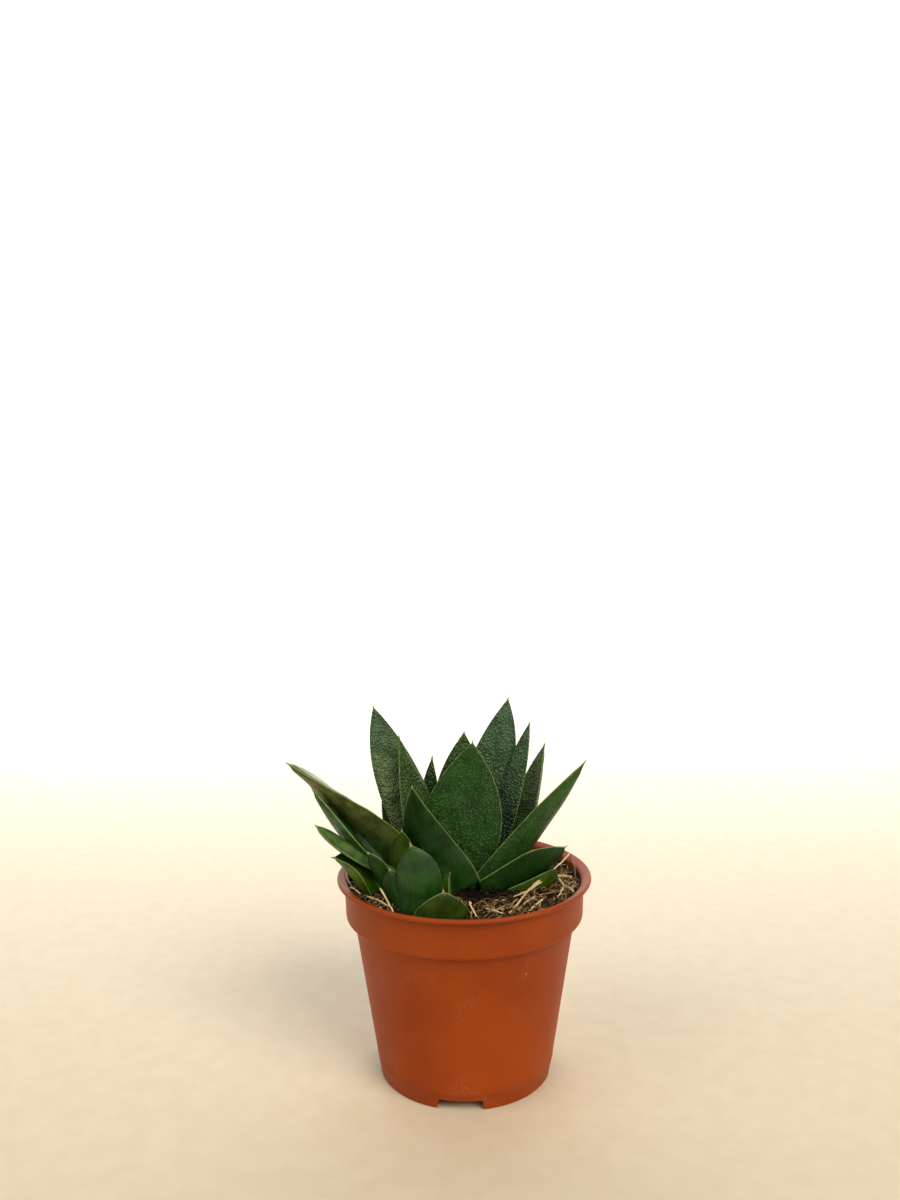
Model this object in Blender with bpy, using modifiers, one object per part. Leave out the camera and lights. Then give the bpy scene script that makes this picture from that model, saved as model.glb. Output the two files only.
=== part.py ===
"""A gasteria with several rosettes in a 10.5 cm plastic nursery pot.

The pot is one turned moulding. The soil fills it to 4 mm below the lip. Each rosette has a short
crown that stands in the soil, and every leaf is a solid of its own, lofted along a curved spine.
"""

import math
import random
from collections import namedtuple

import bmesh
import bpy
from mathutils import Matrix, Vector, noise

MM = 0.001

# Where the pot's axis stands, so that the origin is under the middle of the whole plant
POT_X = 9.1 * MM
POT_Y = 0.0 * MM

# Pot
POT_HEIGHT = 82.5 * MM
LIP_RADIUS = 52.5 * MM
LIP_ROUND = 0.95 * MM
LIP_DROP = 1.9 * MM
BAND_RADIUS = 49.5 * MM
BAND_BOTTOM = 65.5 * MM
BAND_TAPER = 0.5 * MM
WALL_TOP_RADIUS = 45.6 * MM
WALL_FOOT_RADIUS = 35.6 * MM
WALL_THICK = 1.2 * MM
FOOT_RADIUS = 35.4 * MM
FOOT_BEND = 0.8 * MM
FOOT_WIDTH = 2.8 * MM
FLOOR_UNDER = 4.2 * MM
FLOOR_THICK = 1.4 * MM
POT_STEPS = 48
NOTCH_COUNT = 4
NOTCH_TURN = -94.0
NOTCH_WIDTH = 20.0 * MM
NOTCH_TOP_WIDTH = 17.0 * MM
NOTCH_HEIGHT = 4.2 * MM
DRAIN_RADIUS = 3.5 * MM
DRAIN_RING = 22.0 * MM

# Soil
GAP = 0.3 * MM
SOIL_TOP = 78.6 * MM
SOIL_RINGS = 15
SOIL_RELIEF = 0.75 * MM
SOIL_LUMP = 9.0 * MM
SOIL_CEILING = 79.3 * MM
STRAW_RADIUS = 0.6 * MM

# Crowns: middle of each in mm from the pot's axis, and its radius in mm
CROWN_SINK = 15.0 * MM
CROWN_RISE = 5.2 * MM
CROWN_TAPER = 0.55
CROWN_STEPS = 16
CROWNS = {
    "crown_main": ((0, -1), 5.5),
    "crown_back_right": ((5, 20), 6.0),
    "crown_back_left": ((-14, 14), 6.0),
    "crown_left": ((-20, -9), 5.5),
    "crown_front": ((-15, -25), 4.0),
}

# Straws in the soil: both ends in mm from the pot's axis, with their height over the surface
STRAWS = (
    ((25.2, -16, 0.6), (19, -22.2, 0.2)),
    ((24.5, -18, 0.3), (16.3, -39.9, 0.2)),
    ((30.9, -25.5, 0.4), (24.1, -37.2, 0.2)),
    ((2.2, -29, 0.3), (4.4, -42.7, 0.3)),
    ((7.9, -32.6, 0.1), (11, -37, 0.3)),
    ((11, -37, 0.3), (15.2, -37.6, 0)),
    ((39.3, 1.3, 0), (44.5, -0.8, 0.4)),
    ((39.6, -3, 0.3), (40.5, -9.6, 0.2)),
    ((39.8, -12.8, 0.4), (36.4, -23, 0.1)),
    ((39.8, -12.4, 0.2), (43.7, -16.9, 0.2)),
    ((-45, -3, 0.3), (-44.4, -9, 0.2)),
    ((-31.6, -24, 0.3), (-29.6, -34.1, 0.3)),
    ((-39.6, -20.1, 0.1), (-28.1, -33.3, 0.4)),
)
STRAW_SEED = 9
LOOSE_STRAWS = 26
LOOSE_STRAW_LENGTHS = (6.0, 13.0)
LOOSE_STRAW_FIELDS = (
    # Middle and half widths of each clear patch of soil in mm
    ((20, -30), (14, 6)),
    ((42.5, 0), (2.0, 12)),
    ((0, 42), (16, 3)),
    ((36, 27), (6, 6)),
    ((-44, 8), (2, 8)),
)

# Leaves: ends and sizes in mm from the pot's axis, face is the way the upper side looks
Leaf = namedtuple(
    "Leaf",
    "name root tip face width thick belly point base bow sweep channel keel twist mucro",
    defaults=(4.2, 0.33, 2.0, 0.8, 0.0, 0.0, 0.12, 1.2, 0.0, 1.8),
)

LEAVES = (
    # Front rosette
    Leaf("leaf_front_low", (-9.5, -38, 68.5), (-8.3, -41.5, 89.2), (0, 0.8, 0.6), 23, thick=4,
         belly=0.25, point=2.46, base=1, bow=-0.8, sweep=0.3, twist=-4),
    Leaf("leaf_front_round", (-18.8, -31, 73.7), (-20.7, -32, 104), (0.1, 1, 0.2), 17.8, thick=4.5,
         belly=0.38, point=3.51, base=0.9, bow=-0.1, sweep=1.8, twist=6),
    Leaf("leaf_front_small", (-6.8, -25, 79.3), (-5.9, -26, 90.8), (-0.8, -0.5, 0.2), 6.1, thick=3,
         belly=0.36, point=1.88, bow=0.3, sweep=2.2, keel=0.7, twist=6, mucro=1),
    Leaf("leaf_front_side", (-23.2, -28, 73.9), (-29.1, -28, 93.3), (0.1, 1, 0.1), 9.2, thick=3.6,
         belly=0.38, point=3.9, bow=-0.2, sweep=-0.5, mucro=0.6),
    # Main rosette
    Leaf("leaf_main_left", (-5.3, -11, 76.8), (-20.2, -24, 124.5), (0.35, 0.9, 0.3), 29.8, thick=4.6,
         belly=0.12, point=1.34, base=1, bow=-4.1, sweep=-5.2, twist=-1, mucro=1.4),
    Leaf("leaf_right_low", (6.3, -10, 78.6), (41.2, -8, 95), (-0.25, 0.75, 0.6), 22.1, belly=0.58,
         point=2.39, base=0.43, bow=1, sweep=2, keel=1.6, twist=-3, mucro=1.5),
    Leaf("leaf_right_long", (3.2, -5, 72.3), (50.4, 2, 127.5), (-0.45, 0.66, 0.55), 20.4, thick=4.4,
         belly=0.27, point=2.28, base=0.89, bow=1.6),
    Leaf("leaf_main_tall", (-6.9, 3, 76.1), (4.1, 8, 135.1), (-0.2, -1, 0.1), 34.1, thick=4.8,
         belly=0.39, point=2.04, base=0.7, bow=1.9, sweep=-1.5),
    Leaf("leaf_right_lying", (18.3, -11, 77.9), (38.1, -6, 81.7), (-0.1, 0.75, 0.65), 10.2, thick=3.6,
         belly=0.76, point=4.8, base=0.35, bow=2.3, sweep=-2.8, keel=0.2, twist=22, mucro=0.6),
    # Left rosette
    Leaf("leaf_left_inner", (-23.1, -16, 76.7), (-24.8, -17, 105.1), (0.1, 1, 0.2), 11.8, thick=3.6,
         belly=0.34, point=2.87, bow=-2.9, sweep=-1.1, mucro=1.2),
    Leaf("leaf_left_short", (-27.9, -19, 76.5), (-37.8, -22, 97.9), (0.3, 0.9, 0.2), 7.2, thick=3.2,
         belly=0.53, point=3.69, base=0.82, sweep=1, twist=-1, mucro=0.8),
    Leaf("leaf_left_long", (-19.2, -2, 80.9), (-69.7, -16, 132.4), (0.5, 0.55, 0.6), 36, thick=4.6,
         belly=0.5, point=1.25, base=0.93, bow=-5.4, sweep=-6, keel=5, twist=25),
    Leaf("leaf_left_second", (-20.7, -6, 76.4), (-60.6, -12, 120.8), (0.6, -0.2, 0.75), 17.2,
         thick=3.8, belly=0.35, point=2.43, base=0.7, bow=2.3, sweep=0.3, channel=0.25, keel=3.1,
         twist=-23),
    Leaf("leaf_left_third", (-20.1, -14, 84), (-59, -16, 107.1), (0.5, -0.6, 0.6), 7, thick=3.4,
         belly=0.7, point=3.36, base=0.4, bow=1.4, sweep=2.4, channel=0.25, keel=1.4, twist=-22,
         mucro=1),
    Leaf("leaf_left_low", (-35.9, -17, 79.3), (-52, -17, 94.4), (0.45, -0.45, 0.8), 12.9, thick=3.2,
         belly=0.32, point=2.62, base=0.55, bow=-1, sweep=-3.4, channel=0.5, keel=5, twist=-18),
    # Back left rosette
    Leaf("leaf_back_left_dotted", (-10.3, 11, 77.3), (-26.8, 8, 137.6), (0.7, -0.7, 0.1), 23.8,
         thick=4, belly=0.25, point=1.25, bow=-0.9, sweep=3, mucro=1.2),
    Leaf("leaf_back_left_tall", (-8.1, 14, 77.3), (-37.9, 14, 149.5), (0.2, -1, 0.1), 20.7, thick=4.4,
         belly=0.2, point=3.36, base=0.65, bow=-0.7, sweep=2.7, twist=2, mucro=1.2),
    Leaf("leaf_back_left_small", (-11.8, 18, 77.1), (-13.1, 20, 126.1), (-0.2, -1, 0.1), 11.5,
         thick=3.4, bow=0.1, sweep=1.7, mucro=1),
    Leaf("leaf_back_left_hidden", (-21.3, 20, 74.4), (-34.4, 26, 119.2), (0.3, -1, 0.2), 15.4,
         thick=3.6, bow=0.1, sweep=0.3),
    # Back right rosette
    Leaf("leaf_back_right", (10, 17, 75.1), (28.6, 14, 141.8), (-0.7, -0.7, 0.1), 13, belly=0.27,
         point=3.16, bow=-0.2, sweep=-0.8, keel=1.4, mucro=1),
    Leaf("leaf_back_right_tall", (-5.9, 18, 79.6), (20.1, 24, 150.8), (-0.15, -1, 0.1), 20.5,
         thick=4.6, belly=0.37, point=2.79, bow=0.1, sweep=-3.2, mucro=1),
    Leaf("leaf_back_middle", (-3.4, 20, 75.8), (0.8, 22, 136.5), (0.1, -1, 0.1), 23.7, belly=0.36,
         point=2.34, sweep=0.3, mucro=1),
    Leaf("leaf_back_right_outer", (22.3, 22, 72.2), (35.9, 24, 130.1), (-0.8, -0.5, 0.3), 18, thick=4,
         belly=0.35, point=1.9, bow=-1.2, sweep=-0.7, channel=0.35, keel=1.4),
    # Leaves behind, which face the other way
    Leaf("leaf_behind_right", (7.2, 25, 75.4), (20.2, 42, 121.3), (-0.2, -0.9, 0.4), 20),
    Leaf("leaf_behind_middle", (0.2, 26, 75.4), (-5.8, 45, 111.3), (0.1, -0.8, 0.5), 18),
    Leaf("leaf_behind_left", (-15.8, 20, 75.5), (-33.7, 38, 113.4), (0.5, -0.7, 0.5), 16),
    Leaf("leaf_behind_low", (11.2, 25, 76.4), (30.2, 38, 95.3), (-0.6, -0.6, 0.5), 15),
    Leaf("leaf_left_behind", (-23.8, -4, 77.9), (-46.7, 12, 103.8), (0.5, -0.4, 0.7), 15),
)

LEAF_SEGMENTS = 12
LEAF_STATIONS = 11
SMALL_LEAF_LENGTH = 34
SMALL_LEAF_SEGMENTS = 8
SMALL_LEAF_STATIONS = 9
MUCRO_RADIUS = 0.35
TIP_CROWDING = 1.25
TIP_THINNING = 0.55
LEAF_CUT_FLOOR = SOIL_CEILING + GAP

POT_SHARP = math.radians(35)
SOIL_SHARP = math.radians(40)
LEAF_SHARP = math.radians(50)
POT_COLOUR = (0.33, 0.056, 0.012)
SOIL_COLOUR = (0.035, 0.022, 0.012)
CROWN_COLOUR = (0.10, 0.14, 0.04)
LEAF_COLOUR = (0.018, 0.085, 0.022)


def clear_scene():
    for item in list(bpy.data.objects):
        bpy.data.objects.remove(item, do_unlink=True)


def new_collection(name):
    collection = bpy.data.collections.new(name)
    bpy.context.scene.collection.children.link(collection)
    return collection


def material(name, colour, roughness):
    made = bpy.data.materials.new(name)
    made.use_nodes = True
    shader = made.node_tree.nodes["Principled BSDF"]
    shader.inputs["Base Color"].default_value = (*colour, 1)
    shader.inputs["Roughness"].default_value = roughness
    shader.inputs["Metallic"].default_value = 0.0
    return made


def add_object(name, mesh, collection, surface=None):
    item = bpy.data.objects.new(name, mesh)
    collection.objects.link(item)
    if surface:
        mesh.materials.clear()
        mesh.materials.append(surface)
    return item


def add_cutter(name, shape, collection):
    mesh = bpy.data.meshes.new(name)
    shape.to_mesh(mesh)
    shape.free()
    item = add_object(name, mesh, collection)
    item.hide_render = True
    item.display_type = "WIRE"
    return item


def applied_mesh(item):
    """The object's mesh with its modifiers applied."""
    graph = bpy.context.evaluated_depsgraph_get()
    return bpy.data.meshes.new_from_object(item.evaluated_get(graph))


def apply_modifiers(item):
    bpy.context.view_layer.update()
    mesh = applied_mesh(item)
    item.modifiers.clear()
    item.data = mesh


def cut_by(item, collection, operation="DIFFERENCE"):
    cut = item.modifiers.new(operation.lower(), "BOOLEAN")
    cut.operation = operation
    cut.operand_type = "COLLECTION"
    cut.collection = collection
    cut.solver = "EXACT"


def drop_collection(collection):
    for item in list(collection.objects):
        bpy.data.objects.remove(item, do_unlink=True)
    bpy.data.collections.remove(collection)


def turned(name, profile, steps, collection, surface=None):
    """A profile of (radius, height) points turned round the pot's axis."""
    mesh = bpy.data.meshes.new(name)
    points = [(radius, 0, height) for radius, height in profile]
    mesh.from_pydata(points, [(i, i + 1) for i in range(len(points) - 1)], [])
    item = add_object(name, mesh, collection, surface)
    screw = item.modifiers.new("turn", "SCREW")
    screw.steps = steps
    screw.render_steps = steps
    screw.use_merge_vertices = True
    screw.merge_threshold = 0.00001
    item.location = (POT_X, POT_Y, 0)
    return item


def arc(centre, radius, first, last, count):
    """Points on an arc in the profile's plane, angles in degrees from the outward direction."""
    points = []
    for i in range(count):
        angle = math.radians(first + (last - first) * i / (count - 1))
        points.append((centre[0] + radius * math.cos(angle), centre[1] + radius * math.sin(angle)))
    return points


def inner_radius(height):
    """The radius of the pot's inner wall at a height."""
    step = 3.0 * MM
    if height > BAND_BOTTOM + step:
        share = (height - BAND_BOTTOM) / (POT_HEIGHT - BAND_BOTTOM)
        return BAND_RADIUS - BAND_TAPER * (1 - share) - WALL_THICK
    share = (height - FLOOR_UNDER) / (BAND_BOTTOM - FLOOR_UNDER)
    return WALL_FOOT_RADIUS + (WALL_TOP_RADIUS - WALL_FOOT_RADIUS) * share - WALL_THICK


def pot_profile():
    floor_top = FLOOR_UNDER + FLOOR_THICK
    band_foot = BAND_RADIUS - BAND_TAPER
    inside = [
        (0, floor_top),
        (inner_radius(floor_top) - 1.5 * MM, floor_top),
        (inner_radius(floor_top + 1.5 * MM), floor_top + 1.5 * MM),
        (inner_radius(BAND_BOTTOM), BAND_BOTTOM + 0.6 * MM),
        (inner_radius(BAND_BOTTOM + 3.1 * MM), BAND_BOTTOM + 3.1 * MM),
        (inner_radius(POT_HEIGHT), POT_HEIGHT - 2.1 * MM),
        (inner_radius(POT_HEIGHT) + 0.8 * MM, POT_HEIGHT - 1.1 * MM),
        (inner_radius(POT_HEIGHT) + 2.0 * MM, POT_HEIGHT - 0.4 * MM),
    ]
    rim = arc((LIP_RADIUS - LIP_ROUND, POT_HEIGHT - LIP_ROUND), LIP_ROUND, 130, -50, 7)
    outside = [
        (BAND_RADIUS, POT_HEIGHT - LIP_DROP),
        (band_foot, BAND_BOTTOM + 3.0 * MM),
        (band_foot - 0.5 * MM, BAND_BOTTOM + 1.1 * MM),
        (band_foot - 1.7 * MM, BAND_BOTTOM),
        (WALL_TOP_RADIUS + 0.3 * MM, BAND_BOTTOM - 0.8 * MM),
        (WALL_TOP_RADIUS - 0.2 * MM, BAND_BOTTOM - 2.0 * MM),
    ]
    bend = arc((WALL_FOOT_RADIUS - FOOT_BEND, FOOT_BEND), FOOT_BEND, 0, -60, 4)
    foot = [
        (FOOT_RADIUS, 0),
        (FOOT_RADIUS - FOOT_WIDTH, 0),
        (FOOT_RADIUS - FOOT_WIDTH - 0.5 * MM, FLOOR_UNDER),
        (0, FLOOR_UNDER),
    ]
    return inside + rim + outside + bend + foot


def notch_cutter(angle, collection):
    """A block with sloping ends across the foot ring."""
    shape = bmesh.new()
    bmesh.ops.create_cube(shape, size=1)
    for vert in shape.verts:
        wide = NOTCH_TOP_WIDTH if vert.co.z > 0 else NOTCH_WIDTH
        vert.co.x = FOOT_RADIUS + vert.co.x * 14 * MM
        vert.co.y *= wide
        vert.co.z = NOTCH_HEIGHT if vert.co.z > 0 else -1.0 * MM
    cutter = add_cutter("notch", shape, collection)
    cutter.location = (POT_X, POT_Y, 0)
    cutter.rotation_euler.z = math.radians(angle)


def drain_cutter(x, y, collection):
    shape = bmesh.new()
    bmesh.ops.create_cone(
        shape, cap_ends=True, segments=16, radius1=DRAIN_RADIUS, radius2=DRAIN_RADIUS, depth=8 * MM
    )
    cutter = add_cutter("drain", shape, collection)
    cutter.location = (POT_X + x, POT_Y + y, FLOOR_UNDER)


def make_pot(parts):
    pot = turned(
        "pot", pot_profile(), POT_STEPS, parts, material("terracotta plastic", POT_COLOUR, 0.45)
    )
    cutters = new_collection("pot cutters")
    for i in range(NOTCH_COUNT):
        notch_cutter(NOTCH_TURN + 360 / NOTCH_COUNT * i, cutters)
        drain_turn = math.radians(NOTCH_TURN + 360 / NOTCH_COUNT * (i + 0.5))
        drain_cutter(DRAIN_RING * math.cos(drain_turn), DRAIN_RING * math.sin(drain_turn), cutters)
    drain_cutter(0, 0, cutters)
    cut_by(pot, cutters)
    apply_modifiers(pot)
    drop_collection(cutters)
    pot.data.shade_smooth()
    pot.data.set_sharp_from_angle(angle=POT_SHARP)
    return pot


def soil_height(x, y):
    """The soil's surface: soft lumps, a little higher at the wall, never above its ceiling."""
    place = Vector((x, y, 0))
    lumps = noise.noise(place / SOIL_LUMP) + 0.5 * noise.noise(place / (0.45 * SOIL_LUMP))
    edge = (math.hypot(x, y) / inner_radius(SOIL_TOP)) ** 4
    return min(SOIL_TOP + SOIL_RELIEF * lumps + 0.4 * MM * edge, SOIL_CEILING)


def soil_profile():
    floor = FLOOR_UNDER + FLOOR_THICK + GAP
    edge = inner_radius(SOIL_TOP) - GAP
    top = [(edge * i / SOIL_RINGS, SOIL_TOP) for i in range(SOIL_RINGS + 1)]
    side = [
        (inner_radius(BAND_BOTTOM + 3.1 * MM) - GAP, BAND_BOTTOM + 3.2 * MM),
        (inner_radius(BAND_BOTTOM) - GAP, BAND_BOTTOM + 0.4 * MM),
        (inner_radius(floor + 1.5 * MM) - GAP, floor + 1.5 * MM),
        (inner_radius(floor) - 2.0 * MM, floor),
        (0, floor),
    ]
    return top + side


def on_soil(x, y, lift):
    """A point in metres at a height over the soil's surface."""
    return Vector((x, y, soil_height(x, y) + lift))


def straw(start, end, collection):
    """One stiff piece of straw between two points in metres from the pot's axis."""
    run = end - start
    shape = bmesh.new()
    bmesh.ops.create_cone(
        shape,
        cap_ends=True,
        segments=5,
        radius1=STRAW_RADIUS,
        radius2=0.75 * STRAW_RADIUS,
        depth=run.length,
    )
    item = add_cutter("straw", shape, collection)
    item.location = (start + end) / 2 + Vector((POT_X, POT_Y, 0))
    item.rotation_mode = "QUATERNION"
    item.rotation_quaternion = run.to_track_quat("Z", "Y")


def loose_straws(collection):
    """Short straws at random in the clear patches, flat on the soil and half sunk in it."""
    draw = random.Random(STRAW_SEED)
    for i in range(LOOSE_STRAWS):
        (x, y), (wide, deep) = LOOSE_STRAW_FIELDS[i % len(LOOSE_STRAW_FIELDS)]
        x = (x + draw.uniform(-wide, wide)) * MM
        y = (y + draw.uniform(-deep, deep)) * MM
        turn = draw.uniform(0, math.pi)
        half = draw.uniform(*LOOSE_STRAW_LENGTHS) * MM / 2
        step = Vector((math.cos(turn) * half, math.sin(turn) * half, 0))
        ends = []
        for side in (-1, 1):
            place = Vector((x, y, 0)) + side * step
            reach = inner_radius(SOIL_TOP) - 2.0 * MM
            if place.length > reach:
                place *= reach / place.length
            ends.append(on_soil(place.x, place.y, draw.uniform(0.0, 0.35) * MM))
        straw(*ends, collection)


def make_soil(parts):
    soil = turned(
        "soil", soil_profile(), POT_STEPS, parts, material("potting soil", SOIL_COLOUR, 0.95)
    )
    apply_modifiers(soil)
    for vert in soil.data.vertices:
        if vert.co.z > SOIL_TOP - 0.1 * MM:
            vert.co.z = soil_height(vert.co.x, vert.co.y)
    straws = new_collection("straws")
    for start, end in STRAWS:
        straw(on_soil(*(size * MM for size in start)), on_soil(*(size * MM for size in end)), straws)
    loose_straws(straws)
    cut_by(soil, straws, "UNION")
    apply_modifiers(soil)
    drop_collection(straws)
    holes = new_collection("soil holes")
    for (x, y), radius in CROWNS.values():
        shape = bmesh.new()
        wide = radius * MM + GAP
        deep = CROWN_SINK + GAP
        bmesh.ops.create_cone(
            shape,
            cap_ends=True,
            segments=CROWN_STEPS,
            radius1=wide,
            radius2=wide,
            depth=2 * deep,
            matrix=Matrix.Rotation(math.pi / CROWN_STEPS, 4, "Z"),
        )
        hole = add_cutter("hole", shape, holes)
        hole.location = (POT_X + x * MM, POT_Y + y * MM, SOIL_TOP)
    cut_by(soil, holes)
    apply_modifiers(soil)
    drop_collection(holes)
    soil.data.shade_smooth()
    soil.data.set_sharp_from_angle(angle=SOIL_SHARP)
    return soil


def crown_profile(radius, grow):
    """A short stem, straight in the soil and narrower towards its top."""
    wide = radius * MM + grow
    return [
        (0, CROWN_RISE + grow),
        (CROWN_TAPER * wide, CROWN_RISE + grow),
        (wide, 0),
        (wide, -CROWN_SINK - grow),
        (0, -CROWN_SINK - grow),
    ]


def make_crown(name, middle, radius, grow, collection, surface=None):
    crown = turned(name, crown_profile(radius, grow), CROWN_STEPS, collection, surface)
    crown.location += Vector((middle[0] * MM, middle[1] * MM, SOIL_TOP))
    apply_modifiers(crown)
    return crown


def leaf_width(leaf, t):
    """Width in mm at a share t of the way from root to tip."""
    if t < leaf.belly:
        share = leaf.base + (1 - leaf.base) * math.sin(math.pi / 2 * t / leaf.belly)
    else:
        share = 1 - ((t - leaf.belly) / (1 - leaf.belly)) ** leaf.point
    return leaf.width * share


def leaf_frame(leaf, t):
    """Place on the spine, and the directions along it, up from its face and to its side."""
    root = Vector(leaf.root)
    tip = Vector(leaf.tip)
    chord = (tip - root).normalized()
    up = Vector(leaf.face)
    up = (up - chord * up.dot(chord)).normalized()
    side = up.cross(chord)
    middle = (root + tip) / 2 + side * 2 * leaf.sweep - up * 2 * leaf.bow
    place = root * (1 - t) ** 2 + middle * 2 * t * (1 - t) + tip * t**2
    along = ((middle - root) * (1 - t) + (tip - middle) * t).normalized()
    turn = math.radians(leaf.twist * t)
    face = up * math.cos(turn) + side * math.sin(turn)
    face = (face - along * face.dot(along)).normalized()
    return place, along, face, face.cross(along)


def leaf_point(leaf, t, angle, grow):
    """A point of the leaf's skin in mm. The angle goes round the section from one margin."""
    place, along, face, side = leaf_frame(leaf, t)
    half = max(leaf_width(leaf, t) / 2, MUCRO_RADIUS) + grow
    taper = 1 - TIP_THINNING * t**2
    thick = max(min(leaf.thick * taper, half * 1.1), 2 * MUCRO_RADIUS) / 2 + grow
    across = math.cos(angle)
    height = math.sin(angle)
    lift = leaf.channel * half * across**2
    if height < 0:
        lift -= leaf.keel * taper * (half / (leaf.width / 2 + grow)) * (1 - abs(across)) ** 1.2
    return place + side * half * across + face * (thick * height + lift)


def leaf_shape(leaf, grow=0.0):
    """The leaf as a closed loft in metres, made from a sphere whose rings become sections."""
    long_leaf = (Vector(leaf.tip) - Vector(leaf.root)).length > SMALL_LEAF_LENGTH
    segments = LEAF_SEGMENTS if long_leaf else SMALL_LEAF_SEGMENTS
    stations = LEAF_STATIONS if long_leaf else SMALL_LEAF_STATIONS
    shape = bmesh.new()
    bmesh.ops.create_uvsphere(shape, u_segments=segments, v_segments=stations + 1, radius=1)
    for vert in shape.verts:
        turn = math.acos(max(-1, min(1, vert.co.z))) / math.pi
        station = round(turn * (stations + 1))
        angle = math.atan2(vert.co.y, vert.co.x)
        if station == 0:
            place, along = leaf_frame(leaf, 1)[:2]
            point = place + along * (leaf.mucro + grow)
        elif station == stations + 1:
            point = leaf_frame(leaf, 0)[0]
        else:
            t = 1 - ((station - 1) / (stations - 1)) ** TIP_CROWDING
            point = leaf_point(leaf, t, angle, grow)
        vert.co = Vector((POT_X, POT_Y, 0)) + point * MM
    return shape


def box_of(item):
    points = [item.location + vert.co for vert in item.data.vertices]
    low = Vector([min(point[axis] for point in points) for axis in range(3)])
    high = Vector([max(point[axis] for point in points) for axis in range(3)])
    return low, high


def boxes_meet(first, second):
    return all(first[0][i] < second[1][i] and second[0][i] < first[1][i] for i in range(3))


def keep_largest(mesh):
    """Drops every scrap of the mesh but the one with the most volume."""
    shape = bmesh.new()
    shape.from_mesh(mesh)
    left = set(shape.verts)
    islands = []
    while left:
        island = set()
        edge = [left.pop()]
        while edge:
            vert = edge.pop()
            island.add(vert)
            near = [link.other_vert(vert) for link in vert.link_edges]
            fresh = [other for other in near if other in left]
            left.difference_update(fresh)
            edge.extend(fresh)
        islands.append(island)
    if len(islands) > 1:
        sizes = []
        for island in islands:
            part = 0.0
            for face in {face for vert in island for face in vert.link_faces}:
                corners = [vert.co for vert in face.verts]
                for i in range(1, len(corners) - 1):
                    part += corners[0].dot(corners[i].cross(corners[i + 1]))
            sizes.append(part)
        kept = islands[sizes.index(max(sizes))]
        bmesh.ops.delete(
            shape, geom=[vert for vert in shape.verts if vert not in kept], context="VERTS"
        )
    shape.to_mesh(mesh)
    shape.free()


def make_leaf(leaf, parts, surface, placed):
    """One leaf, clear of the soil, of the crowns and of the leaves that were placed before it."""
    mesh = bpy.data.meshes.new(leaf.name)
    leaf_shape(leaf).to_mesh(mesh)
    item = add_object(leaf.name, mesh, parts, surface)
    box = box_of(item)
    cutters = new_collection("leaf cutters")
    if box[0].z < LEAF_CUT_FLOOR:
        shape = bmesh.new()
        bmesh.ops.create_cube(shape, size=1)
        for vert in shape.verts:
            vert.co.x = POT_X + vert.co.x * 4 * LIP_RADIUS
            vert.co.y = POT_Y + vert.co.y * 4 * LIP_RADIUS
            vert.co.z = LEAF_CUT_FLOOR + (vert.co.z - 0.5) * 20 * MM
        add_cutter("soil cutter", shape, cutters)
    for middle, radius in CROWNS.values():
        cutter = make_crown("crown cutter", middle, radius, GAP, cutters)
        if not boxes_meet(box, box_of(cutter)):
            bpy.data.objects.remove(cutter, do_unlink=True)
    for other in placed:
        cutter = add_cutter("leaf cutter", leaf_shape(other, GAP / MM), cutters)
        if not boxes_meet(box, box_of(cutter)):
            bpy.data.objects.remove(cutter, do_unlink=True)
    if cutters.objects:
        cut_by(item, cutters)
        apply_modifiers(item)
        keep_largest(item.data)
    drop_collection(cutters)
    item.data.shade_smooth()
    item.data.set_sharp_from_angle(angle=LEAF_SHARP)
    return item


def build():
    clear_scene()
    parts = new_collection("potted gasteria")
    make_pot(parts)
    make_soil(parts)
    crown_surface = material("crown", CROWN_COLOUR, 0.6)
    for name, (middle, radius) in CROWNS.items():
        make_crown(name, middle, radius, 0, parts, crown_surface)
    leaf_surface = material("leaf", LEAF_COLOUR, 0.4)
    placed = []
    for leaf in LEAVES:
        make_leaf(leaf, parts, leaf_surface, placed)
        placed.append(leaf)


build()
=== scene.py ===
"""A gasteria with several rosettes in a terracotta-coloured plastic nursery pot.

The pot is turned ring by ring, the soil is a rough bed with crumbs, fibres and straws on it, and
each leaf is one fleshy skin, smooth or with warts. Sizes are in millimetres from the pot's axis at
the height of the floor, and become metres as each mesh is made.
"""

import math
import random
from collections import namedtuple
from functools import partial

import bmesh
import bpy
from mathutils import Matrix, Vector, noise

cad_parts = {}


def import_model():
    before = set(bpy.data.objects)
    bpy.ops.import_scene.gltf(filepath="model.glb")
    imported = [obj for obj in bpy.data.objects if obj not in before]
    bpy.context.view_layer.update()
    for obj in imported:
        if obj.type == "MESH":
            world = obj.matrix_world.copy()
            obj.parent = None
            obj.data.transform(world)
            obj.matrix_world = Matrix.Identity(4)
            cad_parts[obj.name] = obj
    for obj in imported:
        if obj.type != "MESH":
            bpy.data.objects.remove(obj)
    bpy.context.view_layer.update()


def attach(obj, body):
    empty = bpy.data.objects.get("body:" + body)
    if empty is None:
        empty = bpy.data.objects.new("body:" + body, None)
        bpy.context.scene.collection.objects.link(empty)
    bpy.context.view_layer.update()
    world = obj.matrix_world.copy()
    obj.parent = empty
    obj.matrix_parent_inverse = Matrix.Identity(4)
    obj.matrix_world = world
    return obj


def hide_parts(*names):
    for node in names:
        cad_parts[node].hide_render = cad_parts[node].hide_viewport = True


MM = 0.001

# Where the pot's axis stands, in mm from the middle of the whole plant
AXIS = Vector((9.1, 0.0, 0.0))

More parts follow.
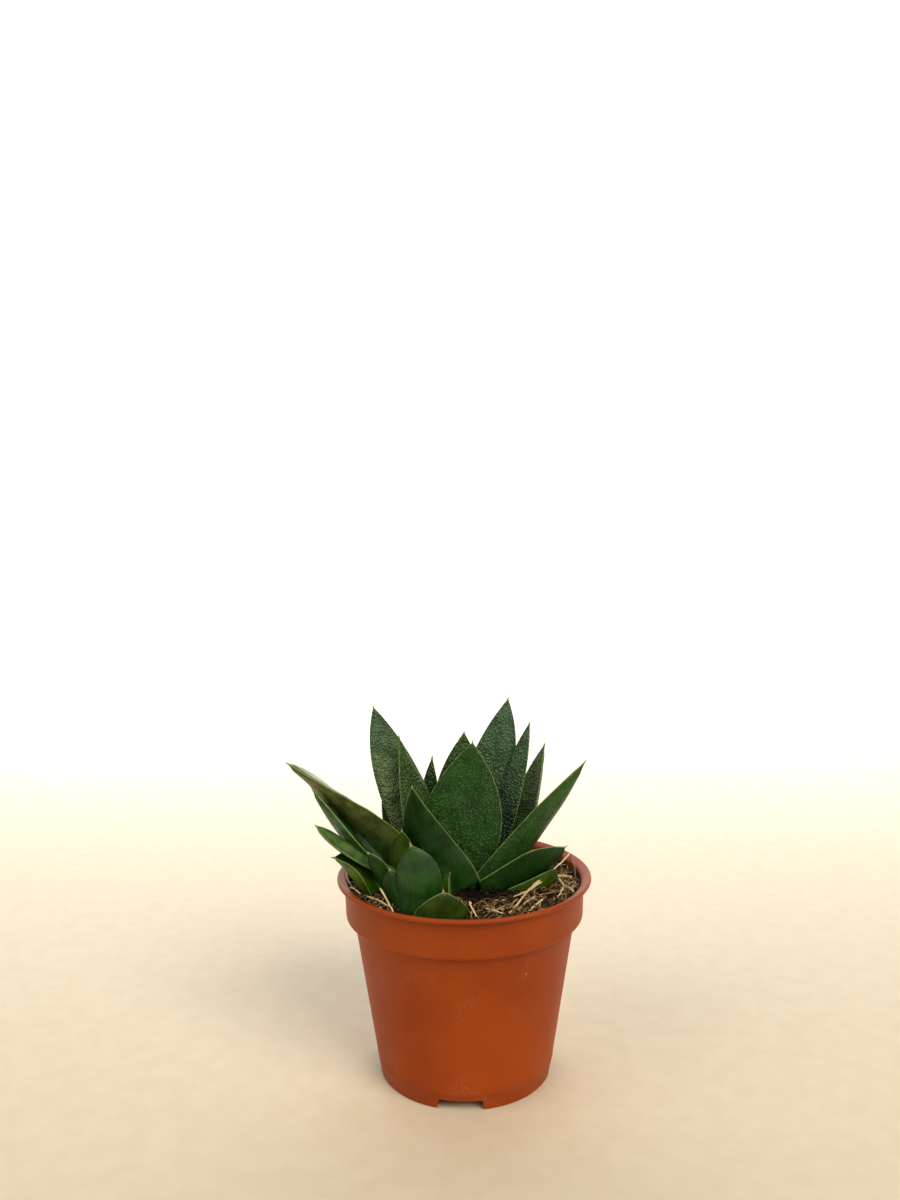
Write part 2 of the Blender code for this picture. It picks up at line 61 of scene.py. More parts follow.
# Pot, in mm, with the turn of its first notch in degrees
POT_HEIGHT = 82.5
LIP_RADIUS = 52.5
LIP_ROUND = 0.95
LIP_DROP = 1.9
BAND_RADIUS = 49.5
BAND_BOTTOM = 65.5
BAND_TAPER = 0.5
WALL_TOP_RADIUS = 45.6
WALL_FOOT_RADIUS = 35.6
WALL_THICK = 1.2
FOOT_RADIUS = 35.4
FOOT_BEND = 0.8
FOOT_WIDTH = 2.8
FLOOR_UNDER = 4.2
FLOOR_THICK = 1.4
POT_STEPS = 192
NOTCH_COUNT = 4
NOTCH_TURN = -94.0
NOTCH_WIDTH = 20.0
NOTCH_TOP_WIDTH = 17.0
NOTCH_HEIGHT = 4.2
NOTCH_DEPTH = 14.0
DRAIN_RADIUS = 3.5
DRAIN_RING = 22.0
DRAIN_DEPTH = 8.0
SOFT_EDGE = 0.25

# Soil: its gap to the pot, its level, the lumps of its surface, and the squares of its grid
GAP = 0.3
SOIL_TOP = 78.6
SOIL_CEILING = 79.3
SOIL_RELIEF = 0.75
SOIL_LUMP = 9.0
SOIL_GRID = 180
# The crumbly relief on the lumps: how wide its coarse and its fine crumbs are, and how high
CRUMBLE_SIZES = (2.6, 1.1)
CRUMBLE_LEVEL = 0.3
CRUMBLE_HEIGHT = 2.2
SHADE_SIZE = 4.0
# Middle and radii of the painted shade on the soil between the leaf bases, where the leaves
# shade it
PAINTED_SHADE_MIDDLE = (7, -14)
PAINTED_SHADE_RADII = (14, 11)
# Where the front leaves press the soil down: its ends in x, where it begins, and how far
PRESSED_ENDS = (-29, 0)
PRESSED_START = -32
PRESSED_SINK = 0.6

# Crowns, then the middle and radius of each
CROWN_SINK = 15.0
CROWN_RISE = 5.2
CROWN_TAPER = 0.55
CROWN_STEPS = 48
CROWN_SCARS = 3
CROWNS = {
    "crown_main": ((0, -1), 5.5),
    "crown_back_right": ((5, 20), 6.0),
    "crown_back_left": ((-14, 14), 6.0),
    "crown_left": ((-20, -9), 5.5),
    "crown_front": ((-15, -25), 4.0),
}

# Straws: points they run through in mm, radius in mm, and tone from 0 dark to 1 bleached
SHOWN_STRAWS = (
    # The forked straw in front of the lying leaf: its stem with one arm, then the other arm
    (((30.3, -15, 83.9), (25.4, -21.5, 82.4), (20, -32, 80.6), (16.5, -39.8, 80)), 0.5, 0.75),
    (((30.9, -15.6, 83.5), (25.9, -21, 82.2), (22, -22.2, 81), (18.9, -22.9, 80)), 0.4, 0.9),
    # Straws that lie on the soil to the right
    (((30.9, -25.5, 80.2), (27.6, -31.2, 80.3), (24.1, -37.2, 80)), 0.45, 0.95),
    (((27.6, -23.1, 80), (25, -27, 80.3), (22.3, -30.8, 79.9)), 0.5, 0.55),
    (((20.8, -24.8, 80), (18.5, -30.2, 80.5), (17, -34.9, 79.8)), 0.3, 0.3),
    (((38.4, -0.9, 80.2), (41.5, -1.3, 80.6), (44.6, -2.3, 80.2)), 0.6, 0.85),
    (((38.9, -3.3, 80.2), (40.4, -10.8, 80)), 0.55, 0.8),
    (((39.6, -14.2, 80.4), (38.2, -19, 80.4), (36.3, -24.1, 79.8)), 0.4, 0.7),
    (((39.8, -12.4, 80.1), (42, -14.5, 80.4), (43.6, -17.9, 79.9)), 0.5, 0.75),
    # The thin one that leans on the wall, and the fibre that hangs from the lip
    (((46.6, 21, 82.6), (42, 9, 83.2), (36.4, -3, 83.5)), 0.4, 1.0),
    (((46.6, 17.5, 82), (47.3, 10, 80.9), (46.6, 3, 80.4), (46.3, -2.4, 79.6)), 0.16, 0.4),
    # Beside the low front leaf, and the bent one next to it
    (((1.5, -38, 84.2), (2.6, -40.2, 82), (4.4, -42.9, 79.8)), 0.4, 0.95),
    (((7.9, -34, 79.8), (11, -38.2, 80.6), (13.7, -40, 80.2), (15.1, -38.6, 79.7)), 0.45, 0.85),
    # To the left
    (((-50.2, 6, 82.2), (-47.6, -6, 81), (-45.3, -10, 79.6)), 0.5, 0.45),
    (((-32.8, -30, 86.6), (-30, -34, 83.6), (-27.1, -39.5, 80.6)), 0.45, 0.85),
    (((-39.1, -20.7, 80), (-34, -27, 80.8), (-28.6, -32.4, 80)), 0.5, 0.8),
    (((-46.6, -10.7, 79.9), (-44.5, -14, 80.6), (-41.3, -18.5, 79.9)), 0.5, 0.95),
)
# Loose straws, fibres and crumbs: how many there are, and their sizes
LOOSE_STRAWS = 26
LOOSE_STRAW_LENGTHS = (6.0, 13.0)
LOOSE_STRAW_RADII = (0.28, 0.45)
FIBRES = 1500
FIBRE_LENGTHS = (3.0, 12.0)
CRUMBS = 3400
CRUMB_SMALLEST = 0.4
PALE_CRUMBS = 0.015
# Seeds of the places of the straws, their looks, the fibres and the crumbs
STRAW_SEED = 9
STRAW_LOOK_SEED = 77
FIBRE_SEED = 52
CRUMB_SEED = 31
# Middle and reach of the fields in which the loose straws lie
LOOSE_STRAW_FIELDS = (
    ((20, -30), (14, 6)),
    ((42.5, 0), (2.0, 12)),
    ((0, 42), (16, 3)),
    ((36, 27), (6, 6)),
    ((-44, 8), (2, 8)),
)

# Leaves. Root and tip are the ends of the spine, face is the way the upper side looks, and width
# and thick are the largest. Belly is the share of the length where the leaf is widest, base its
# width at the root as a share of that, and point how late it narrows to the tip. Bow and sweep
# bend the spine back and sideways, channel hollows the upper side as a share of the half width,
# keel is the ridge on the back, twist is in degrees, and mucro is the spike at the tip.
Leaf = namedtuple(
    "Leaf",
    "name root tip face width thick belly point base bow sweep channel keel twist mucro",
    defaults=(4.2, 0.33, 2.0, 0.8, 0.0, 0.0, 0.12, 1.2, 0.0, 1.8),
)

LEAVES = (
    # Front rosette
    Leaf("leaf_front_low", (-9.5, -38, 68.5), (-8.3, -41.5, 89.2), (0, 0.8, 0.6), 23, thick=4,
         belly=0.25, point=2.46, base=1, bow=-0.8, sweep=0.3, twist=-4),
    Leaf("leaf_front_round", (-18.8, -31, 73.7), (-20.7, -32, 104), (0.1, 1, 0.2), 17.8, thick=4.5,
         belly=0.38, point=3.51, base=0.9, bow=-0.1, sweep=1.8, twist=6),
    Leaf("leaf_front_small", (-6.8, -25, 79.3), (-5.9, -26, 90.8), (-0.8, -0.5, 0.2), 6.1, thick=3,
         belly=0.36, point=1.88, bow=0.3, sweep=2.2, keel=0.7, twist=6, mucro=1),
    Leaf("leaf_front_side", (-23.2, -28, 73.9), (-29.1, -28, 93.3), (0.1, 1, 0.1), 9.2, thick=3.6,
         belly=0.38, point=3.9, bow=-0.2, sweep=-0.5, mucro=0.6),
    # Main rosette
    Leaf("leaf_main_left", (-5.3, -11, 76.8), (-20.2, -24, 124.5), (0.35, 0.9, 0.3), 29.8,
         thick=4.6, belly=0.12, point=1.34, base=1, bow=-4.1, sweep=-5.2, twist=-1, mucro=1.4),
    Leaf("leaf_right_low", (6.3, -10, 78.6), (41.2, -8, 95), (-0.25, 0.75, 0.6), 22.1, belly=0.58,
         point=2.39, base=0.43, bow=1, sweep=2, keel=1.6, twist=-3, mucro=1.5),
    Leaf("leaf_right_long", (3.2, -5, 72.3), (50.4, 2, 127.5), (-0.45, 0.66, 0.55), 20.4, thick=4.4,
         belly=0.27, point=2.28, base=0.89, bow=1.6),
    Leaf("leaf_main_tall", (-6.9, 3, 76.1), (4.1, 8, 135.1), (-0.2, -1, 0.1), 34.1, thick=4.8,
         belly=0.39, point=2.04, base=0.7, bow=1.9, sweep=-1.5),
    Leaf("leaf_right_lying", (18.3, -11, 77.9), (38.1, -6, 81.7), (-0.1, 0.75, 0.65), 10.2,
         thick=3.6, belly=0.76, point=4.8, base=0.35, bow=2.3, sweep=-2.8, keel=0.2, twist=22,
         mucro=0.6),
    # Left rosette
    Leaf("leaf_left_inner", (-23.1, -16, 76.7), (-24.8, -17, 105.1), (0.1, 1, 0.2), 11.8, thick=3.6,
         belly=0.34, point=2.87, bow=-2.9, sweep=-1.1, mucro=1.2),
    Leaf("leaf_left_short", (-27.9, -19, 76.5), (-37.8, -22, 97.9), (0.3, 0.9, 0.2), 7.2, thick=3.2,
         belly=0.53, point=3.69, base=0.82, sweep=1, twist=-1, mucro=0.8),
    Leaf("leaf_left_long", (-19.2, -2, 80.9), (-69.7, -16, 132.4), (0.5, 0.55, 0.6), 36, thick=4.6,
         belly=0.5, point=1.25, base=0.93, bow=-5.4, sweep=-6, keel=5, twist=25),
    Leaf("leaf_left_second", (-20.7, -6, 76.4), (-60.6, -12, 120.8), (0.6, -0.2, 0.75), 17.2,
         thick=3.8, belly=0.35, point=2.43, base=0.7, bow=2.3, sweep=0.3, channel=0.25, keel=3.1,
         twist=-23),
    Leaf("leaf_left_third", (-20.1, -14, 84), (-59, -16, 107.1), (0.5, -0.6, 0.6), 7, thick=3.4,
         belly=0.7, point=3.36, base=0.4, bow=1.4, sweep=2.4, channel=0.25, keel=1.4, twist=-22,
         mucro=1),
    Leaf("leaf_left_low", (-35.9, -17, 79.3), (-52, -17, 94.4), (0.45, -0.45, 0.8), 12.9, thick=3.2,
         belly=0.32, point=2.62, base=0.55, bow=-1, sweep=-3.4, channel=0.5, keel=5, twist=-18),
    # Back left rosette
    Leaf("leaf_back_left_dotted", (-10.3, 11, 77.3), (-26.8, 8, 137.6), (0.7, -0.7, 0.1), 23.8,
         thick=4, belly=0.25, point=1.25, bow=-0.9, sweep=3, mucro=1.2),
    Leaf("leaf_back_left_tall", (-8.1, 14, 77.3), (-37.9, 14, 149.5), (0.2, -1, 0.1), 20.7,
         thick=4.4, belly=0.2, point=3.36, base=0.65, bow=-0.7, sweep=2.7, twist=2, mucro=1.2),
    Leaf("leaf_back_left_small", (-11.8, 18, 77.1), (-13.1, 20, 126.1), (-0.2, -1, 0.1), 11.5,
         thick=3.4, bow=0.1, sweep=1.7, mucro=1),
    Leaf("leaf_back_left_hidden", (-21.3, 20, 74.4), (-34.4, 26, 119.2), (0.3, -1, 0.2), 15.4,
         thick=3.6, bow=0.1, sweep=0.3),
    # Back right rosette
    Leaf("leaf_back_right", (10, 17, 75.1), (28.6, 14, 141.8), (-0.7, -0.7, 0.1), 13, belly=0.27,
         point=3.16, bow=-0.2, sweep=-0.8, keel=1.4, mucro=1),
    Leaf("leaf_back_right_tall", (-5.9, 18, 79.6), (20.1, 24, 150.8), (-0.15, -1, 0.1), 20.5,
         thick=4.6, belly=0.37, point=2.79, bow=0.1, sweep=-3.2, mucro=1),
    Leaf("leaf_back_middle", (-3.4, 20, 75.8), (0.8, 22, 136.5), (0.1, -1, 0.1), 23.7, belly=0.36,
         point=2.34, sweep=0.3, mucro=1),
    Leaf("leaf_back_right_outer", (22.3, 22, 72.2), (35.9, 24, 130.1), (-0.8, -0.5, 0.3), 18,
         thick=4, belly=0.35, point=1.9, bow=-1.2, sweep=-0.7, channel=0.35, keel=1.4),
    # Leaves behind, which face the other way
    Leaf("leaf_behind_right", (7.2, 25, 75.4), (20.2, 42, 121.3), (-0.2, -0.9, 0.4), 20),
    Leaf("leaf_behind_middle", (0.2, 26, 75.4), (-5.8, 45, 111.3), (0.1, -0.8, 0.5), 18),
    Leaf("leaf_behind_left", (-15.8, 20, 75.5), (-33.7, 38, 113.4), (0.5, -0.7, 0.5), 16),
    Leaf("leaf_behind_low", (11.2, 25, 76.4), (30.2, 38, 95.3), (-0.6, -0.6, 0.5), 15),
    Leaf("leaf_left_behind", (-23.8, -4, 77.9), (-46.7, 12, 103.8), (0.5, -0.4, 0.7), 15),
)

# Segments round a leaf and stations along it, for a smooth leaf and for one with warts
SMOOTH_MESH = (48, 60)
WARTY_MESH = (128, 150)
LEAST_WARTS = 0.1
# Warts: how far apart and how high, how wide as a share of that, and how far from the margin
WART_SIZE = 1.5
WART_HEIGHT = 0.28
WART_EDGE = 0.62
WART_SLOPE = 0.5
WART_MARGIN = 1.2
# The skin's soft waves: how high, and how long across the leaf and along it
WAVE_HEIGHT = 0.3
WAVE_ACROSS = 7
WAVE_ALONG = 5
MUCRO_RADIUS = 0.35
# How closely the stations crowd at the tip, how much thinner the leaf gets there, how sharp the
# edge of its section is, and how thick the bead is along that edge
TIP_CROWDING = 1.25
TIP_THINNING = 0.55
LENS = 0.62
BEAD = 0.24
# How far one leaf's skin patterns lie from the next leaf's, across, along and in depth
PATTERN_STEP = Vector((17, 29, 3))

# Greens of the leaf flesh, from the darkest to the palest
GREENS = {
    "deep": "#234C10",
    "black": "#13380A",
    "fir": "#2C5417",
    "mid": "#3C6225",
    "blue": "#5C8460",
    "grass": "#446F14",
    # Painted light: the pale lime that brightens the low part of leaf_back_left_tall
    "painted_light_lime": "#D4E898",
    "moss": "#5F7F45",
    "lawn": "#5A881A",
    "olive": "#3F5012",
    "brown": "#7E7E46",
    "pale": "#82985E",
    # Painted shade: the darker green towards the roots of most leaves
    "base": "#1C4408",
}

# Finish of each leaf: green of the upper side, of the back and low on the leaf, then warts, dots
# and wax bloom with its painted bluish sheen from 0 to 1, and the width of the pale margin in mm
# The green low on the leaf is painted shade on most leaves, darker towards the root, and painted
# light on leaf_back_left_tall
Finish = namedtuple(
    "Finish", "upper under low warts dots wax rim", defaults=("base", 0, 0, 0, 0.15)
)
FINISHES = {
    "leaf_front_low": Finish("deep", "olive", rim=0.2),
    "leaf_front_round": Finish("deep", "deep", wax=0.12, rim=0.06),
    "leaf_front_small": Finish("lawn", "moss", "lawn", rim=0.15),
    "leaf_front_side": Finish("deep", "black", rim=0.08),
    "leaf_main_left": Finish("mid", "black", dots=0.15, wax=0.15, rim=0.15),
    "leaf_right_low": Finish("black", "black", dots=0.1, wax=0.05, rim=0.2),
    "leaf_right_long": Finish("mid", "fir", warts=0.08, dots=0.2, wax=0.05, rim=0.12),
    "leaf_main_tall": Finish("deep", "mid", warts=0.13, dots=0.4, wax=0.05, rim=0.3),
    "leaf_right_lying": Finish("grass", "olive", "grass", rim=0.06),
    "leaf_left_inner": Finish("olive", "olive", rim=0.08),
    "leaf_left_short": Finish("deep", "black", rim=0.1),
    "leaf_left_long": Finish("pale", "brown", "mid", dots=0.2, rim=0.12),
    "leaf_left_second": Finish("black", "mid", dots=0.1, wax=0.9, rim=0.2),
    "leaf_left_third": Finish("moss", "deep", "mid", dots=0.2, rim=0.15),
    "leaf_left_low": Finish("black", "lawn", "grass", rim=0.12),
    "leaf_back_left_dotted": Finish("mid", "deep", warts=0.7, dots=1.0, rim=0.3),
    "leaf_back_left_tall": Finish("blue", "blue", "painted_light_lime", warts=1.0, dots=0.2, wax=0.2, rim=0.15),
    "leaf_back_left_small": Finish("deep", "deep", warts=0.6, dots=0.4, rim=0.15),
    "leaf_back_left_hidden": Finish("mid", "mid", warts=0.5, dots=0.2, wax=0.1, rim=0.15),
    "leaf_back_right": Finish("blue", "mid", warts=1.0, dots=0.4, wax=0.2, rim=0.2),
    "leaf_back_right_tall": Finish("blue", "mid", "mid", warts=1.0, dots=0.4, wax=0.2, rim=0.2),
    "leaf_back_middle": Finish("mid", "mid", "mid", warts=0.8, dots=0.8, rim=0.15),
    "leaf_back_right_outer": Finish("moss", "mid", "mid", warts=0.6, dots=0.3, wax=0.3, rim=0.25),
    "leaf_behind_right": Finish("mid", "mid", warts=0.8, dots=0.4, wax=0.2, rim=0.2),
    "leaf_behind_middle": Finish("mid", "blue", warts=0.8, dots=0.4, wax=0.2, rim=0.2),
    "leaf_behind_left": Finish("deep", "mid", warts=0.7, dots=0.4, wax=0.2, rim=0.2),
    "leaf_behind_low": Finish("mid", "grass", warts=0.3, dots=0.3, rim=0.15),
    "leaf_left_behind": Finish("deep", "mid", warts=0.3, dots=0.3, wax=0.1, rim=0.15),
}

# Studio sweep in metres
SWEEP_SIZE = 6
SWEEP_SHIFT = -1.2
SWEEP_HEIGHT = 3
SWEEP_BEND = 0.6

# Lights: kind, place and target in metres, power, size in degrees or metres, colour
LIGHTS = {
    "key": ("SUN", (0.55, -0.75, 0.9), (0, 0, 0.08), 2.2, 35, "#FFF3DE"),
    "left": ("SUN", (-0.8, -0.45, 0.8), (0, 0, 0.08), 0.9, 45, "#FFF8EC"),
    "backdrop": ("AREA", (0, 1.0, 1.5), (0, 1.8, 0.9), 115, 3.0, "#CCDEFF"),
}
BACKDROP_LIGHT_DEPTH = 0.5
AIR_COLOUR = "#F6F7F2"
AIR_STRENGTH = 0.28

# Camera: its place from the pot's axis in mm, its angles in degrees
CAMERA_PLACE = (-4.8, -406.9, 225.8)
CAMERA_PITCH = 4.22
CAMERA_ROLL = -0.52
CAMERA_LENS = 30
CAMERA_SENSOR = 36

# A soft step in a Map Range node. Input 0 is the value, 1 and 2 are where the step begins and ends,
# and 3 and 4 are what it gives there.
SOFT_STEP = {"interpolation_type": "SMOOTHSTEP"}


# Colours and nodes


def linear(code):
    """An sRGB hex colour as linear red, green, blue and alpha."""
    parts = [int(code[i : i + 2], 16) / 255 for i in (1, 3, 5)]
    bright = [v / 12.92 if v <= 0.04045 else ((v + 0.055) / 1.055) ** 2.4 for v in parts]
    return (*bright, 1.0)


def feed(node, inputs):
    """Gives a node its inputs. Each is another node's output or a fixed value."""
    for key, source in inputs.items():
        if isinstance(source, bpy.types.NodeSocket):
            node.id_data.links.new(source, node.inputs[key])
        else:
            node.inputs[key].default_value = source


def add_node(tree, kind, inputs=None, output=0, **settings):
    """Adds a node with its settings and inputs, and gives back the output that is used."""
    made = tree.nodes.new("ShaderNode" + kind)
    for key, value in settings.items():
        setattr(made, key, value)
    feed(made, inputs or {})
    return made.outputs[output]


def new_material(name):
    made = bpy.data.materials.new(name)
    made.use_nodes = True
    return made, partial(add_node, made.node_tree), made.node_tree.nodes["Principled BSDF"]


def paint(add, colour, layers):
    """Lays colours over each other.

    A layer has a pattern, the values of the pattern where there is none of it and where it has its
    full strength, that strength, and its colour.
    """
    for pattern, none, full, strength, code in layers:
        share = add("MapRange", {0: pattern, 1: none, 2: full, 4: strength}, **SOFT_STEP)
        colour = add("Mix", {0: share, 6: colour, 7: linear(code)}, 2, data_type="RGBA")
    return colour


# Materials


def leaf_flesh():
    """Succulent leaf: fleshy, under a thin wax skin that gives a soft satin sheen.

    The skin has warts a little over 1 mm across and paler dots on some leaves, faint fibres that
    run along the leaf, a pale horny margin a fifth of a millimetre wide and a dry tip. Patches of
    wax bloom carry a painted bluish sheen. The valleys between the warts carry painted shade and
    their paler tops a painted highlight. The skin is painted darker towards the margins, as shade.
    All of it is laid out in mm on the skin, across the leaf and along it.
    """
    made, add, shader = new_material("succulent leaf, waxed skin")
    skin, edges, finish = (
        add("Attribute", None, "Vector", attribute_name=name)
        for name in ("skin", "edges", "finish")
    )
    tint = add("Attribute", None, "Color", attribute_name="tint")
    margin, tip, inward = add("SeparateXYZ", {0: edges}).node.outputs
    warts, dots, wax = add("SeparateXYZ", {0: finish}).node.outputs

    # Soft blotches 6 mm across, long faint fibres 0.8 mm apart, patches of wax bloom with a painted
    # bluish sheen, and patches of dots
    blotch = add("TexNoise", {"Vector": skin, "Scale": 1 / 6, "Detail": 4, "Roughness": 0.6})
    along = add("Mapping", {"Vector": skin, "Scale": (1.25, 0.07, 1)})
    fibre = add("TexNoise", {"Vector": along, "Scale": 1})
    wax_and_sheen_patch = add("TexNoise", {"Vector": skin, "Scale": 1 / 11})
    dot_patch = add("TexNoise", {"Vector": skin, "Scale": 1 / 5})
    # Warts 1.1 mm apart, and fine dots 1.3 mm apart
    cells = add(
        "TexVoronoi",
        {"Vector": skin, "Scale": 1 / 1.1, "Smoothness": 0.2},
        feature="SMOOTH_F1",
    )
    specks = add("TexVoronoi", {"Vector": skin, "Scale": 1 / 1.3})
    wart = add("MapRange", {0: cells, 1: 0.56, 2: 0.12, 4: warts}, **SOFT_STEP)
    # How strongly the wax bloom with its painted sheen, the painted shade in the valleys between
    # the warts, the tops of the warts with their painted highlight, and the dots show
    film, painted_valley_shade, top, dot = (
        add("Math", {0: amount, 1: strength}, operation="MULTIPLY")
        for amount, strength in ((wax, 0.6), (warts, 0.4), (warts, 0.7), (dots, 0.4))
    )
    dot = add("MapRange", {0: dot_patch, 1: 0.42, 2: 0.6, 4: dot}, **SOFT_STEP)
    # The pale margin is a little uneven
    uneven = add("TexNoise", {"Vector": skin, "Scale": 1 / 1.6, "Detail": 1})
    uneven = add("MapRange", {0: uneven, 1: 0.3, 2: 0.7, 3: -0.3, 4: 0.4}, **SOFT_STEP)
    margin = add("Math", {0: margin, 1: uneven}, operation="ADD")
    colour = paint(
        add,
        tint,
        (
            (blotch, 0.38, 0.66, 0.65, "#0E2A06"),
            (fibre, 0.5, 0.78, 0.2, "#56762C"),
            # Painted shade: the skin is darker within 2.6 mm of the margin, where the edge turns
            # over
            (inward, 2.6, 0.2, 0.4, "#0E2A06"),
            # Painted bluish sheen, laid on the patches of wax bloom
            (wax_and_sheen_patch, 0.4, 0.62, film, "#6A8C76"),
            # Painted shade in the valleys between the warts, and a painted highlight on their paler
            # tops
            (cells, 0.3, 0.62, painted_valley_shade, "#0E2A06"),
            (cells, 0.56, 0.12, top, "#9AB492"),
            (specks, 0.28, 0.14, dot, "#8CA464"),
            (margin, 1.3, 0.4, 0.65, "#86A050"),
            (tip, 0.7, 0.0, 0.9, "#B09A6C"),
        ),
    )

    # Satin skin, a little duller on the warts
    pores = add("TexNoise", {"Vector": skin, "Scale": 1 / 0.5})
    satin = add("MapRange", {0: pores, 1: 0.3, 2: 0.7, 3: 0.36, 4: 0.46}, **SOFT_STEP)
    dull = add("Math", {0: wart, 1: 0.06, 2: satin}, operation="MULTIPLY_ADD")
    relief = add("Bump", {"Height": pores, "Strength": 0.15, "Distance": 0.3 * MM})
    relief = add("Bump", {"Height": fibre, "Strength": 0.2, "Distance": 0.4 * MM, "Normal": relief})
    relief = add("Bump", {"Height": wart, "Strength": 1, "Distance": 1.5 * MM, "Normal": relief})
    surface = {"IOR": 1.45, "Specular IOR Level": 0.3, "Normal": relief}
    feed(shader, {"Base Color": colour, "Roughness": dull, **surface})
    return made


def pot_plastic():
    """Injection-moulded polypropylene: an even terracotta colour, satin, with a soft sheen.

    It has very soft colour clouds from the mould, a fine skin 0.4 mm across, and a little pale
    dust in patches all over it.
    """
    made, add, shader = new_material("polypropylene, moulded terracotta")
    place = add("TexCoord", None, "Object")
    cloud = add("TexNoise", {"Vector": place, "Scale": 1 / (35 * MM)})

    # Dust: a film in patches 14 mm across, and a few flecks 0.3 mm across in it
    patch = add("TexNoise", {"Vector": place, "Scale": 1 / (14 * MM), "Detail": 3})
    dusty, dust_share, fleck_share = (
        add("MapRange", {0: patch, 1: 0.55, 2: 0.72, 4: strength}, **SOFT_STEP)
        for strength in (1, 0.18, 0.6)
    )
    dust = add(
        "TexNoise", {"Vector": place, "Scale": 1 / (1.1 * MM), "Detail": 4, "Roughness": 0.7}
    )
    flecks = add("TexVoronoi", {"Vector": place, "Scale": 1 / (6 * MM)})
    colour = paint(
        add,
        linear("#913807"),
        (
            (cloud, 0.3, 0.72, 1, "#9D420A"),
            (dust, 0.45, 0.7, dust_share, "#C89878"),
            (flecks, 0.055, 0.03, fleck_share, "#E8CDBB"),
        ),
    )
    satin = add("MapRange", {0: cloud, 1: 0.3, 2: 0.7, 3: 0.44, 4: 0.5}, **SOFT_STEP)
    film = add("MapRange", {0: dust, 1: 0.45, 2: 0.7, 4: dusty}, **SOFT_STEP)
    dull = add("Math", {0: film, 1: 0.12, 2: satin}, operation="MULTIPLY_ADD")
    pit = add("TexNoise", {"Vector": place, "Scale": 1 / (0.4 * MM)})
    relief = add("Bump", {"Height": pit, "Strength": 0.08, "Distance": 0.2 * MM})
    surface = {"IOR": 1.49, "Specular IOR Level": 0.2, "Normal": relief}
    feed(shader, {"Base Color": colour, "Roughness": dull, **surface})
    return made


def potting_mix():
    """Peat, bark and coir: crumbs from near black to tan, quite dull, with a rough grain."""
    made, add, shader = new_material("peat and coir, loose")
    place = add("TexCoord", None, "Object")
    shade = add("Attribute", None, "Fac", attribute_name="shade")
    lump = add("TexNoise", {"Vector": place, "Scale": 1 / (1.2 * MM), "Detail": 3})
    colour = paint(
        add,
        linear("#140C06"),
        (
            (shade, 0, 0.5, 1, "#4E3820"),
            (shade, 0.5, 0.8, 1, "#8E6A40"),
            (shade, 0.93, 1, 1, "#E8DFCC"),
            (lump, 0.45, 0.65, 0.6, "#120B06"),
        ),
    )
    rough = add(
        "TexNoise", {"Vector": place, "Scale": 1 / (0.5 * MM), "Detail": 4, "Roughness": 0.7}
    )
    relief = add("Bump", {"Height": rough, "Strength": 0.8, "Distance": 0.6 * MM})
    surface = {"Roughness": 0.9, "Specular IOR Level": 0.2, "Normal": relief}
    feed(shader, {"Base Color": colour, **surface})
    return made


def dry_fibre(name, dark, pale):
    """Dried plant fibre: matt, streaked, some pieces dark and some bleached."""
    made, add, shader = new_material(name)
    place = add("TexCoord", None, "Object")
    shade = add("Attribute", None, "Fac", attribute_name="shade")
    streak = add("TexNoise", {"Vector": place, "Scale": 1 / (1.2 * MM), "Detail": 3})
    tone = add("Mix", {0: shade, 6: linear(dark), 7: linear(pale)}, 2, data_type="RGBA")
    colour = paint(add, tone, ((streak, 0.45, 0.75, 0.45, "#5A4220"),))
    relief = add("Bump", {"Height": streak, "Strength": 0.4, "Distance": 0.3 * MM})
    surface = {"Roughness": 0.7, "Specular IOR Level": 0.3, "Normal": relief}
    feed(shader, {"Base Color": colour, **surface})
    return made


def crown_tissue():
    """The short stem: green flesh with dry olive-brown scars of old leaves."""
    made, add, shader = new_material("succulent stem, scarred")
    place = add("TexCoord", None, "Object")
    bands = add("Mapping", {"Vector": place, "Scale": (0.25, 0.25, 1.6)})
    scar = add("TexNoise", {"Vector": bands, "Scale": 1 / (1.5 * MM), "Detail": 3})
    colour = paint(add, linear("#3C5A20"), ((scar, 0.4, 0.65, 1, "#59582F"),))
    dull = add("MapRange", {0: scar, 1: 0.3, 2: 0.7, 3: 0.5, 4: 0.75}, **SOFT_STEP)
    relief = add("Bump", {"Height": scar, "Strength": 0.5, "Distance": 0.6 * MM})
    feed(shader, {"Base Color": colour, "Roughness": dull, "Normal": relief})
    return made


def studio_paper():
    """Matt pale paper for the studio sweep."""
    made, add, shader = new_material("paper, matt pale")
    place = add("TexCoord", None, "Object")
    tooth = add("TexNoise", {"Vector": place, "Scale": 1 / (10 * MM)})
    colour = paint(add, linear("#D5C8B0"), ((tooth, 0.3, 0.7, 1, "#D8CCB5"),))
    feed(shader, {"Base Color": colour, "Roughness": 0.9})
    return made


# Modelling


def start_piece(name, surface):
    """Names the primitive that was just added, and gives it its material."""
    item = bpy.context.object
    item.name = name
    item.data.name = name
    item.data.materials.clear()
    item.data.materials.append(surface)
    return item


def pick_nothing():
    bpy.ops.object.select_all(action="DESELECT")


def settle(item):
    """Puts the object's place into its mesh."""
    pick_nothing()
    item.select_set(True)
    bpy.context.view_layer.objects.active = item
    bpy.ops.object.transform_apply(location=True, rotation=True, scale=True)


def hand_in(item, node):
    """Lets a finished piece stand for its CAD node."""
    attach(item, "root")
    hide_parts(node)


def arc(centre, radius, first, last, count):
    points = []
    for i in range(count):
        angle = math.radians(first + (last - first) * i / (count - 1))
        points.append((centre[0] + radius * math.cos(angle), centre[1] + radius * math.sin(angle)))
    return points


